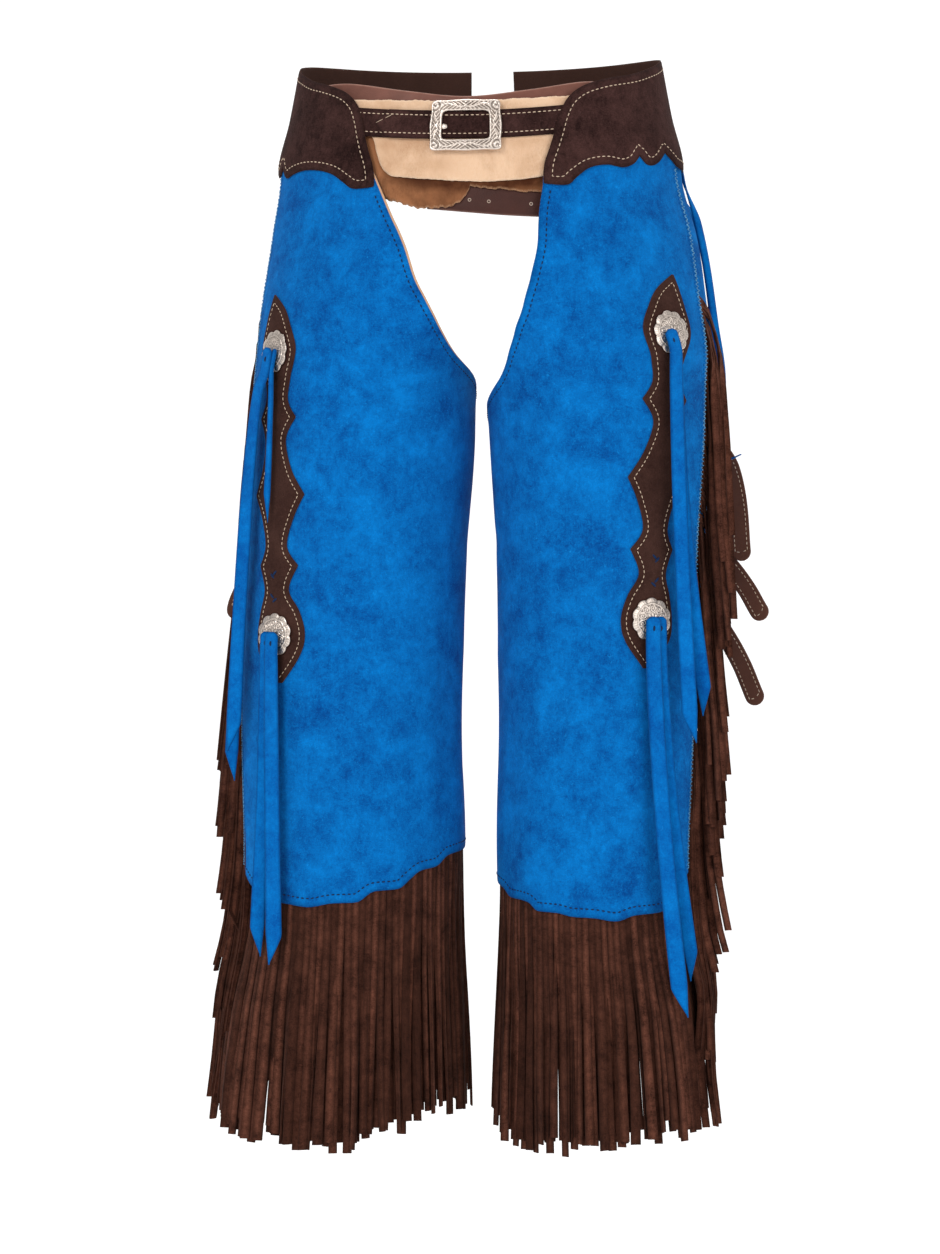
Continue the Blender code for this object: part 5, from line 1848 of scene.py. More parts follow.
@dataclass(frozen=True)
class Buckle:
    """The engraved buckle: a frame round a window, with scrolled corners and leaves."""

    size: tuple[float, float] = (66.0, 49.0)
    window: tuple[float, float] = (42.5, 26.5)
    base: float = 2 * LAYER

    def loop(self, turn: Array, wide: Array, high: Array, lobes: Array) -> tuple[Array, Array]:
        """Places of one loop: a rounded rectangle whose corners swell into scrolls.

        The distance from the middle is that of a rectangle, wider at its corners and in the middle
        of its sides and narrower between them.

        Args:
            turn: angle round the loop.
            wide: half width.
            high: half height.
            lobes: how far the scrolls stand out.

        Returns:
            Distances across and up.
        """
        c, s = np.cos(turn), np.sin(turn)
        sharp = 9.0
        box = ((np.abs(c) / wide) ** sharp + (np.abs(s) / high) ** sharp) ** (-1 / sharp)
        x, y = np.abs(box * c) / wide, np.abs(box * s) / high
        along = np.minimum(x, y)
        swell = 0.85 * rise(along, 0.70, 0.98) - 0.75 * bell(along, 0.55, 0.20)
        swell = swell + 0.45 * bell(along, 0.0, 0.16)
        reach = box * (1 + lobes * swell / np.hypot(wide, high) * 1.5)
        return reach * c, reach * s

    def edges(self, share: Array) -> tuple[Array, Array]:
        """Half the width and half the height of a loop, at its share of the way from rim to window."""
        (rim_x, rim_y), (gap_x, gap_y) = np.array(self.size) / 2 - 1.0, np.array(self.window) / 2
        return rim_x + (gap_x - rim_x) * share, rim_y + (gap_y - rim_y) * share

    def relief(self, turn: Array, share: Array) -> tuple[Array, Array]:
        """Height and darkness of the engraving on the frame.

        Share is 0 at the rim and 1 at the window, and a raised edge runs along both. Each corner has
        a scroll, a cosine of the distance from its middle less the angle about it, and each side a
        wandering stem between slanting blades.

        Args:
            turn: angle round the frame.
            share: place across the frame.

        Returns:
            Millimetres of relief and a darkness from 0 to 1.
        """
        half, gap = np.array(self.size) / 2 - 1.0, np.array(self.window) / 2
        x, y = (np.abs(p) for p in self.loop(turn, *self.edges(share), 0.0 * share))
        middle = (half + gap) / 2
        dx, dy = x - middle[0] - 0.6, y - middle[1] - 0.4
        reach = np.hypot(dx, dy)
        coil = wave(2 * math.pi * reach / 3.7 - np.arctan2(dy, dx))
        corner = 1 - rise(reach, 5.2, 6.0)
        on_side = y < gap[1]
        along, length = np.where(on_side, y, x), np.where(on_side, gap[1], gap[0])
        over = (share - 0.5) * np.where(on_side, half[0] - gap[0], half[1] - gap[1])
        stem = np.abs(over - 1.7 * np.sin(along / length * 5.2 + 0.6))
        blades = wave(1.55 * (along - 1.5 * np.abs(over))) ** 1.6
        vine = np.maximum(bell(stem, 0.0, 0.75), 0.9 * blades * np.exp(-((over / 4.2) ** 4)))
        pattern = corner * coil + (1 - corner) * vine
        rim = bell(share, 0.07, 0.05) + bell(share, 0.93, 0.05)
        inside = rise(share, 0.12, 0.20) * (1 - rise(share, 0.80, 0.88))
        line = bell(share, 0.15, 0.022) + bell(share, 0.85, 0.022)
        height = 0.30 * rim + inside * (1.05 * pattern - 0.55) - 0.16 * line
        dark = 0.8 * inside * (1 - rise(pattern, 0.08, 0.58)) + 0.55 * line
        return height, np.clip(dark, 0, 1)

    def build(self) -> None:
        """The frame as one closed ring: flat back, wall, domed and engraved face, and window wall."""
        turn = full_turn(600)
        across = np.concatenate([[0.0], np.linspace(0.0, 1.0, 38), [1.0]])[:, None]
        on_face = np.concatenate([[0.0], np.ones(38), [0.0]])[:, None]
        x, up = self.loop(turn[None] + 0 * across, *self.edges(across), 0.75 * (1 - across) ** 1.3)
        dome = 1.3 + 1.9 * np.sin(math.pi * np.clip(across, 0, 1)) ** 0.7 + 0.3 * across
        height, dark = self.relief(turn[None], across + 0 * turn[None])
        lift = on_face * (dome + height)
        points = on_front(BUCKLE_MIDDLE[0] + x, BUCKLE_MIDDLE[1] - up, self.base + lift)
        rings, count = points.shape[:2]
        first = np.arange(count)
        last = first + (rings - 1) * count
        back = np.stack([last, np.roll(last, -1), np.roll(first, -1), first], -1)
        faces = np.concatenate([grid_faces(rings, count, wrap=True), back])
        obj = new_object("belt_buckle", points.reshape(-1, 3), faces)
        put_values(obj, "cut", dark * on_face)
        dress(obj, Finish.SILVER, "buckle")

    def tongue(self) -> None:
        """The prong's end, resting at the left of the window."""
        left = BUCKLE_MIDDLE[0] - self.window[0] / 2 + GAP
        t = np.linspace(0, 1, 40)
        turn = full_turn(16)
        half = 2.6 - 1.1 * t**2
        half = half * np.sqrt(np.clip(1 - ((t - 0.5) * 2) ** 8, 0.02, 1))
        x = (left + 4.5 * t)[:, None] + 0 * turn
        drop = 23.5 + half[:, None] * np.cos(turn)
        out = self.base + 0.9 + 0.85 * half[:, None] / 2.6 * np.sin(turn)
        points = on_front(x, drop, out)
        obj = capped_tube("belt_buckle_tongue", points, np.stack([points[0].mean(0), points[-1].mean(0)]))
        dress(obj, Finish.SILVER, "buckle_tongue")


@dataclass
class BackStrap:
    """The plain strap that joins both yokes behind."""

    start: float = 158.0
    end: float = 202.0
    top: float = -20.0
    bottom: float = 12.0
    inset: float = 4.5

    def build(self) -> None:
        """The strap, with rounded corners."""

        def place(u: Array, v: Array, lift: Array) -> Array:
            """Points of the strap at its shares along and across.

            Args:
                u: share along.
                v: share across.
                lift: millimetres over the inner face.

            Returns:
                The points, in millimetres.
            """
            side = 2 * v - 1
            inset = 1.2 * np.abs(side) ** 6
            angle = self.start + inset + u * (self.end - self.start - 2 * inset)
            return FORM.place(Side.RIGHT, angle, self.top + v * (self.bottom - self.top), 2 * LAYER + lift)

        u, v = np.linspace(0, 1, 90), close_at_ends(20, 0.6)
        made = leather_shell("back_strap_leather", place, u, v, SUEDE)
        lay(made, Finish.BROWN, "back_strap", "stretched", "left_yoke_leather", "right_yoke_leather")

    def stitches(self) -> None:
        """Cream rows along both edges and across both ends, where it is sewn to the yokes."""
        angle = np.linspace(self.start + 2.2, self.end - 2.2, 300)
        rows = [(angle, np.full(300, drop)) for drop in (self.top + self.inset, self.bottom - self.inset)]
        drop = np.linspace(self.top + 5, self.bottom - 5, 60)
        for angle in (self.start + 2.2, self.start + 8.5, self.end - 8.5, self.end - 2.2):
            rows.append((np.full(60, angle), drop))
        sewn = [FORM.row(Side.RIGHT, *row, 2 * LAYER + SUEDE) for row in rows]
        dress(Thread().sew("back_strap_stitches", sewn), Finish.CREAM)


# ---- Conchos, ties and laces

CONCHO_RADIUS = 20.0
CONCHO_DOME = 4.0
CONCHO_PLACES = {"upper": (44.5, 209.0), "lower": (33.5, 470.0)}
TIE_RISE = 3.0


def concho_frame(side: Side, angle: float, drop: float) -> tuple[Array, Array, Array, Array]:
    """The place of a concho's back, and its outward, sideways and upward directions.

    The directions come from the form without creases, over one radius up and down and three
    degrees to both sides. The back is then lifted until it clears the tab all over.

    Args:
        side: the leg.
        angle: where its middle lies round the leg.
        drop: where its middle lies down the leg.

    Returns:
        Centre, outward, across and up.
    """
    top = LAYER + THIN

    def at(a: Array, d: Array) -> Array:
        """Points of the tab's face."""
        return FORM.place(side, np.asarray(a, float), np.asarray(d, float), top)

    centre = at(angle, drop)
    up = at(angle, drop - CONCHO_RADIUS) - at(angle, drop + CONCHO_RADIUS)
    outward = unit(np.cross(FORM.around(side, angle, drop, top, 6.0), up))
    outward = -outward if outward[1] > 0 else outward
    across = unit(np.cross(unit(up), outward))
    turns = np.linspace(0, 2 * math.pi, 49)
    reach = math.degrees(CONCHO_RADIUS / float(FORM.measure(side.label + "_out", drop)))
    share = np.array([0.0, 0.35, 0.7, 1.0])[:, None]
    near = at(angle + reach * share * np.cos(turns), drop + CONCHO_RADIUS * share * np.sin(turns))
    lift = max(0.0, float(((near - centre) @ outward).max()))
    return centre + outward * (lift + GAP), outward, across, np.cross(outward, across)


@dataclass(frozen=True)
class Concho:
    """A domed silver plate with a scalloped rim, a rope edge and engraved scrolls."""

    side: Side
    which: str

    @property
    def where(self) -> tuple[float, float]:
        """Its angle and drop."""
        angle, drop = CONCHO_PLACES[self.which]
        return angle, drop + TAB_LOWER[self.side]

    def relief(self, turn: Array, share: Array) -> tuple[Array, Array]:
        """Height and darkness of the engraving.

        Share is 0 in the middle and 1 at the rim. From the rim inward: ten petals cut with fans of
        lines, a rope, ten scrolls made of a sine over the distance from their middles, and a flower.

        Args:
            turn: angle round the plate.
            share: distance from the middle.

        Returns:
            Millimetres of relief and a darkness from 0 to 1.
        """
        petal = np.abs(np.sin(5 * turn))
        outer = rise(share, 0.80, 0.86) * (1 - rise(share, 0.965, 0.99))
        rays = wave(50 * turn)
        band = bell(share, 0.765, 0.030)
        rope = 0.5 + 0.5 * np.sin(60 * turn + 40 * share)
        step = math.pi / 5
        local = (np.mod(turn, step) - step / 2) * share / 0.52
        reach = np.hypot(local / 0.27, (share - 0.535) / 0.19)
        scroll = wave(10.5 * reach + np.arctan2(share - 0.535, local))
        middle = (1 - rise(share, 0.68, 0.74)) * rise(share, 0.30, 0.36)
        scroll = np.maximum(scroll * (reach < 1.15), bell(reach, 1.25, 0.13))
        flower = 1 - rise(share, 0.26, 0.31)
        leaf = wave(8 * turn)
        heart = 1 - rise(share, 0.07, 0.11)
        height = (outer * (0.16 * petal**0.5 + 0.10 * rays - 0.18) + band * (0.2 + 0.16 * rope)
                  + middle * (0.42 * scroll - 0.26) + flower * (0.26 * leaf * rise(share, 0.03, 0.18) - 0.12)
                  + 0.3 * heart)
        dark = (outer * (0.55 * (1 - rise(rays, 0.1, 0.5)) + 0.7 * (1 - rise(petal, 0.05, 0.3)))
                + band * 0.5 * (1 - rise(rope, 0.1, 0.45)) + middle * (1 - rise(scroll, 0.15, 0.5))
                + flower * (1 - heart) * (1 - rise(leaf, 0.1, 0.5)))
        groove = bell(share, 0.70, 0.014) + bell(share, 0.815, 0.014) + bell(share, 0.30, 0.014)
        return height - 0.14 * groove, np.clip(0.65 * dark + 0.55 * groove, 0, 1)

    def build(self) -> None:
        """The plate: a domed face over a polar grid, a short wall, and a flat back."""
        centre, outward, across, up = concho_frame(self.side, *self.where)
        turn = full_turn(280)[None]
        share = np.concatenate([np.linspace(0.01, 0.985, 47), [1.0]])[:, None]
        lobes = 1 - rise(share, 0.5, 1.0) * 0.10 * (1 - np.abs(np.sin(5 * turn)) ** 0.8)
        radius = CONCHO_RADIUS * share * lobes
        dome = 1.0 + (CONCHO_DOME - 1.15) * (1 - share**2) ** 0.85
        height, dark = self.relief(turn, share)
        height = np.where(share < 1, height, 0.0)
        flat = np.cos(turn)[..., None] * across + np.sin(turn)[..., None] * up
        face = centre + flat * radius[..., None] + outward * (dome + height)[..., None]
        wall = centre + flat * radius[-1:, :, None]
        rings = np.concatenate([face, wall])
        rows, count = rings.shape[:2]
        ends = np.stack([centre + outward * (dome[0, 0] + 0.2), centre])
        first = np.arange(count)
        last = first + (rows - 1) * count
        caps = fan(np.roll(first, -1), first, rows * count), fan(last, np.roll(last, -1), rows * count + 1)
        faces = np.concatenate([grid_faces(rows, count, wrap=True), *caps])
        name = f"{self.side.label}_{self.which}_concho"
        obj = new_object(name + "_plate", np.concatenate([rings.reshape(-1, 3), ends]), faces)
        put_values(obj, "cut", np.concatenate([dark.ravel(), np.zeros(count + 2)]))
        dress(obj, Finish.SILVER, name)


@dataclass(frozen=True)
class Tie:
    """A flat pointed thong that hangs from a concho."""

    side: Side
    which: str
    number: int
    length: float
    width: float
    out: float
    back: float
    shift: float
    settle: float = 1.5

    point: float = 27.0

    def build(self) -> None:
        """The thong, over the concho and straight down, a little bowed, with a long one-sided point."""
        sign = float(self.side.value)
        centre, outward, across, up = concho_frame(self.side, *Concho(self.side, self.which).where)
        up = up * math.copysign(1.0, up[2])
        across = across * sign * math.copysign(1.0, across[0])
        lift = CONCHO_DOME + 2 * GAP + 1.0 + (LAYER if self.number == 1 else 0.0)
        start = centre + outward * lift + across * self.shift + up * TIE_RISE
        rim = CONCHO_RADIUS + TIE_RISE
        falls = np.array([0.0, rim, *np.linspace(rim + 16.0, self.length - 34.0, 5), self.length])
        t = np.clip((falls - rim) / (self.length - rim), 0, None)
        swing = np.array([sign * self.out, self.back, 0.0])
        centres = start - up * np.minimum(falls, rim)[:, None] + swing * (t**self.settle)[:, None]
        centres[:, 2] -= np.maximum(falls - rim, 0.0)
        path = smooth_path(centres, 120)
        share = lengths_along(path) / lengths_along(path)[-1]
        wide = across * (1 - share[:, None]) + np.array([sign, 0.0, 0.0]) * share[:, None]
        lean = 0.10 * np.sin(2.2 * math.pi * share + self.number * 1.9) * rise(share, 0.15, 0.5)
        wide = wide + lean[:, None] * np.array([0.0, 1.0, 0.0])
        narrowed = np.clip((1 - share) / (self.point / self.length), 0.06, 1.0) ** 0.92
        half = self.width / 2 * narrowed
        skew = 0.7 * sign * (self.width / 2 - half) * (1 if self.number == 1 else -1)
        path = path + skew[:, None] * np.array([1.0, 0.0, 0.0])
        half = half * np.sqrt(np.clip(share * self.length / 3.2, 0.12, 1.0)) * (1 + 0.03 * np.sin(9 * share))
        bow = 0.5 * np.sin(2.6 * math.pi * share + self.number) * rise(share, 0.1, 0.4) * half / half.max()
        name = f"{self.side.label}_{self.which}_tie_{self.number}"
        lay(strap_shell(name + "_thong", path, wide, half, SUEDE, outward, bow), Finish.TIE, name, "hung",
            f"{self.side.label}_{self.which}_concho_plate")
        if self.number < 3:
            # A short dark navy mark on the thong: painted shadow of the slot in the concho that it comes
            # through.
            slot_shadow = smooth_path(start - up * np.linspace(7.0, 14.5, 6)[:, None] + outward * 0.9, 20)
            mark = Thread(30.0, 6.0, 2.4).sew(name + "_slit", [(slot_shadow, np.tile(outward, (20, 1)))])
            dress(mark, Finish.NAVY)


TIES = (
    Tie(Side.LEFT, "upper", 1, 373, 14, 34, 22, 0.0, 0.55),
    Tie(Side.LEFT, "upper", 2, 402, 12, 38, 36, 5.0, 0.55),
    Tie(Side.LEFT, "upper", 3, 160, 6, 6, 4, -8.5),
    Tie(Side.LEFT, "lower", 1, 306, 15, -3, 0, -3.0),
    Tie(Side.LEFT, "lower", 2, 300, 13, 10, 6, 6.0),
    Tie(Side.RIGHT, "upper", 1, 376, 14, 13, 14, -7.0),
    Tie(Side.RIGHT, "upper", 2, 352, 13, 27, 24, -4.5, 1.7),
    Tie(Side.RIGHT, "lower", 1, 364, 15, 26, 8, -2.0),
    Tie(Side.RIGHT, "lower", 2, 333, 12, 30, 20, 7.0),
)


@dataclass(frozen=True)
class HipLace:
    """A long thong sewn under the top of a yoke that hangs beside the side fringe."""

    side: Side
    number: int
    angle: float
    drop: float
    stations: tuple[tuple[float, float, float], ...]
    half: float = 4.0
    def build(self) -> None:
        """The lace, flat on the yoke at first and then hanging, with a pointed end."""
        lift = 2 * LAYER + 2 * GAP + 1.0
        sign = self.side.value
        rests = np.array([self.drop, self.drop + 28.0])
        lying = FORM.place(self.side, np.full(2, self.angle), rests, lift)
        level = FORM.around(self.side, np.full(2, self.angle), rests, lift, 3.0)
        hanging = np.array(self.stations, float)
        if self.side is Side.LEFT:
            names = ("left_mid", "left_out", "back")
            middle, reach, back = (FORM.measure(name, hanging[:, 2]) for name in names)
            beside = middle + reach * np.sqrt(1 - (hanging[:, 1] / back) ** 2) + 6.5
            hanging[:, 0] = np.minimum(hanging[:, 0], beside)
        elif self.number == 1:
            hanging[:, 0] -= 3.0
            flick = hanging[-1] + ((-1.0, 0.0, -14.0), (4.0, -2.0, -3.0), (15.0, -7.0, -7.0))
            hanging = np.concatenate([hanging[:-1], flick])
        hanging = hanging * (sign, 1.0, -1.0)
        centres = np.concatenate([lying, hanging])
        flat = np.tile([0.75 * sign, 0.66, 0.0], (len(hanging), 1))
        if len(hanging) > len(self.stations):
            flat[-2:] = (0.1, 0.2, 1.0)
        at = lengths_along(centres)
        path = smooth_path(centres, 130)
        share = lengths_along(path) / lengths_along(path)[-1]
        wide = read_along(share * at[-1], at, np.concatenate([unit(level), flat]))
        half = self.half * np.clip((1 - share) * at[-1] / 60.0, 0.08, 1.0) ** 0.9
        name = f"{self.side.label}_hip_lace_{self.number}"
        away = np.array([float(sign), -0.9, 0.0])
        lay(strap_shell(name + "_thong", path, wide, half, SUEDE, away, 0.3 * half / self.half), Finish.TIE,
            name, "hung", f"{self.side.label}_yoke_leather")


HIP_LACES = (
    (1, 102.0, 26.0, ((206, 23, 96), (215, 23, 140), (222, 24, 190), (229, 25, 240), (232, 25, 322))),
    (2, 110.0, 28.0, ((201, 37, 96), (211, 37, 140), (218, 38, 200), (226, 38, 320), (230, 38, 446))),
)


# ---- Leg straps

STRAP_DROPS = (300.0, 395.0, 455.0)
STRAP_TAILS = (
    ((101, 70, 304, 4), (119, 60, 326, 40), (127, 56, 365, 76), (130, 55, 406, 80), (131, 55, 414, 80)),
    ((99, 70, 400, 4), (117, 60, 417, 24), (135, 56, 441, 36), (147, 55, 462, 38), (152, 55, 469, 38)),
    ((97, 70, 462, 6), (113, 60, 482, 36), (130, 56, 512, 50), (142, 55, 541, 54), (146, 55, 550, 54)),
)


@dataclass
class LegStrap:
    """A strap round the back of a leg, with a plain buckle and a free end that stands out."""

    side: Side
    number: int
    width: float = 18.0
    inset: float = 3.2
    buckle_angle: float = 140.0
    buckle_half: tuple[float, float] = (7.5, 12.5)

    @property
    def name(self) -> str:
        """The name of its solid."""
        return f"{self.side.label}_leg_strap_{self.number}"

    @property
    def drop(self) -> float:
        """The drop at which it goes round the leg."""
        return STRAP_DROPS[self.number - 1]

    def path(self) -> tuple[Array, Array, Array]:
        """Its middle line, round the leg and then along its free end.

        Returns:
            The line, the direction of the width, and half the width at each place.
        """
        angles = np.arange(231.0, 129.0, -3.0)
        out = SUEDE + 2 * GAP + SUEDE / 2
        half = self.width / 2
        high, low = (FORM.place(self.side, angles, self.drop + d, out) for d in (-half, half))
        middle = float(FORM.measure(self.side.label + "_mid", self.drop))
        tuck = 26.0 if self.side is Side.LEFT else 0.0
        across, back, fall, lean = np.array(STRAP_TAILS[self.number - 1], float).T
        sign = self.side.value
        count = len(across)
        free = np.stack([sign * (middle + across - tuck * (np.arange(count) + 1) / count), back, -fall], 1)
        lean = np.radians(lean)
        centres = np.concatenate([(high + low) / 2, free])
        wide = np.concatenate([unit(high - low), np.stack([sign * np.sin(lean), 0 * lean, np.cos(lean)], 1)])
        path = smooth_path(centres, 220)
        at = lengths_along(path)
        end = np.clip(1 - (at[-1] - at) / 9.0, 0.0, 1.0)
        wide = unit(read_along(at, lengths_along(centres), wide))
        return path, wide, half * np.sqrt(np.clip(1 - 0.96 * end**2, 0.03, 1.0))

    def build(self) -> None:
        """The strap and its stitches."""
        path, wide, half = self.path()
        made = strap_shell(self.name + "_leather", path, wide, half, SUEDE, self.away(path), columns=11)
        lay(made, Finish.TAB, self.name, "stretched", f"{self.side.label}_leg_leather")
        self.stitches(path, wide, half)

    def away(self, path: Array) -> Array:
        """The directions from the leg's middle to each place of the path, with none on the free end."""
        middle = np.array([self.side.value * float(FORM.measure(self.side.label + "_mid", 400.0)), 0.0, 0.0])
        return (path - middle) * np.array([1.0, 1.0, 0.0]) * (np.arange(len(path)) < 0.6 * len(path))[:, None]

    def stitches(self, path: Array, wide: Array, half: Array) -> None:
        """Cream rows along both edges of the strap, and through to the back of its free end.

        Args:
            path: the strap's middle line.
            wide: the direction of its width.
            half: half its width.
        """
        along = unit(np.gradient(path, axis=0))
        face = unit(np.cross(wide, along))
        face = face * np.sign((face * self.away(path)).sum())
        rows = []
        for sign in (-1.0, 1.0):
            line = path + wide * (np.clip(half - self.inset, 0, None) * sign)[:, None]
            rows.append(((line + face * (SUEDE / 2))[4:-6], face[4:-6]))
            rows.append(((line - face * (SUEDE / 2))[150:-6], -face[150:-6]))
        share = np.linspace(-1, 1, 24)[:, None]
        end = path[-9] + wide[-9] * 5.6 * share + along[-9] * 3.6 * np.sqrt(1 - 0.9 * share**2)
        for sign in (-1.0, 1.0):
            rows.append((end + sign * face[-9] * (SUEDE / 2), np.tile(sign * face[-9], (24, 1))))
        dress(Thread(4.4, 3.2, 0.8).sew(self.name + "_stitches", rows), Finish.CREAM)

    def buckle(self) -> None:
        """The plain square wire frame with its prong, on the strap behind the leg."""
        base = 2 * SUEDE + 4 * GAP
        radius = float(FORM.measure("back", self.drop))
        c, s = np.cos(full_turn(96)), np.sin(full_turn(96))
        wide, high = self.buckle_half
        reach = ((np.abs(c) / wide) ** 9 + (np.abs(s) / high) ** 9) ** (-1 / 9)
        angle = self.buckle_angle + np.degrees(reach * c / radius)
        loop = FORM.place(self.side, angle, self.drop + reach * s, np.full(96, base + 1.5))
        name = f"{self.side.label}_leg_buckle_{self.number}"
        frame = closed_tube(name + "_frame", loop, 1.5, 12)
        put_values(frame, "cut", np.zeros(len(frame.data.vertices)))
        dress(frame, Finish.NICKEL, name)
        t = np.linspace(0, 1, 24)
        angle = self.buckle_angle + np.degrees((15.5 * t - wide) / radius)
        drop = np.full(24, self.drop)
        prong = FORM.place(self.side, angle, drop, base + 1.6 + 1.9 * np.sin(math.pi * t) ** 0.5)
        out = FORM.outward(self.side, angle, drop)
        across = unit(np.cross(unit(np.gradient(prong, axis=0)), out))
        ring = full_turn(10)[None, :, None]
        size = (1.15 * np.clip(np.minimum(t, 1 - t) * 12, 0.35, 1))[:, None, None]
        points = prong[:, None] + size * (np.cos(ring) * across[:, None] + np.sin(ring) * out[:, None])
        dress(capped_tube(name + "_prong", points, np.stack([prong[0], prong[-1]])), Finish.NICKEL)


# ---- Fringe


def strand_mesh(name: str, centres: Array, wide: Array, deep: Array, pale: float = 0.15) -> Object:
    """Many strands of six sides as one mesh, each bowed along its middle and closed at both ends, with
    painted shade: darker rims, and a random tone for each strand that partly stands for depth shade.

    Args:
        name: the object's name.
        centres: for each strand and station the middle.
        wide: half the width there, as a vector.
        deep: half the thickness there, as a vector.
        pale: how pale the darkest strand is.

    Returns:
        The object.
    """
    bow = 0.55 * unit(deep)
    ring = np.stack([centres - wide - deep, centres + bow - deep, centres + wide - deep,
                     centres + wide + deep, centres + bow + deep, centres - wide + deep], 2)
    count, stations = ring.shape[:2]
    last = (stations - 1) * SIDES
    ends = np.array([[5, 4, 1, 0], [4, 3, 2, 1], [last, last + 1, last + 4, last + 5],
                     [last + 1, last + 2, last + 3, last + 4]])
    faces = copies(np.concatenate([grid_faces(stations, SIDES, wrap=True), ends]), count, stations * SIDES)
    obj = new_object(name, ring.reshape(-1, 3), faces, smooth=False)
    # Painted shade: a random tone for each strand, partly for depth shade, and rims darker than the bowed
    # middle, for a rounded look and dark gaps between the strands.
    tint = np.random.default_rng(5).uniform(0, 1, count)[:, None]
    value = (pale + 1.7 * tint) * np.array([0.1, 1.0, 0.25, 0.25, 1.0, 0.1])[None]
    put_values(obj, "edge", np.repeat(value[:, None], stations, 1))
    put_values(obj, "under", np.zeros(count * stations * SIDES))
    return obj


def chance_of(chance: np.random.Generator, spread: float, count: int) -> Array:
    """One chance number for each strand, spread about 0."""
    return chance.normal(0, spread, (count, 1))


# How pale the edges of the side strands are.
SIDE_PALE = 1.1


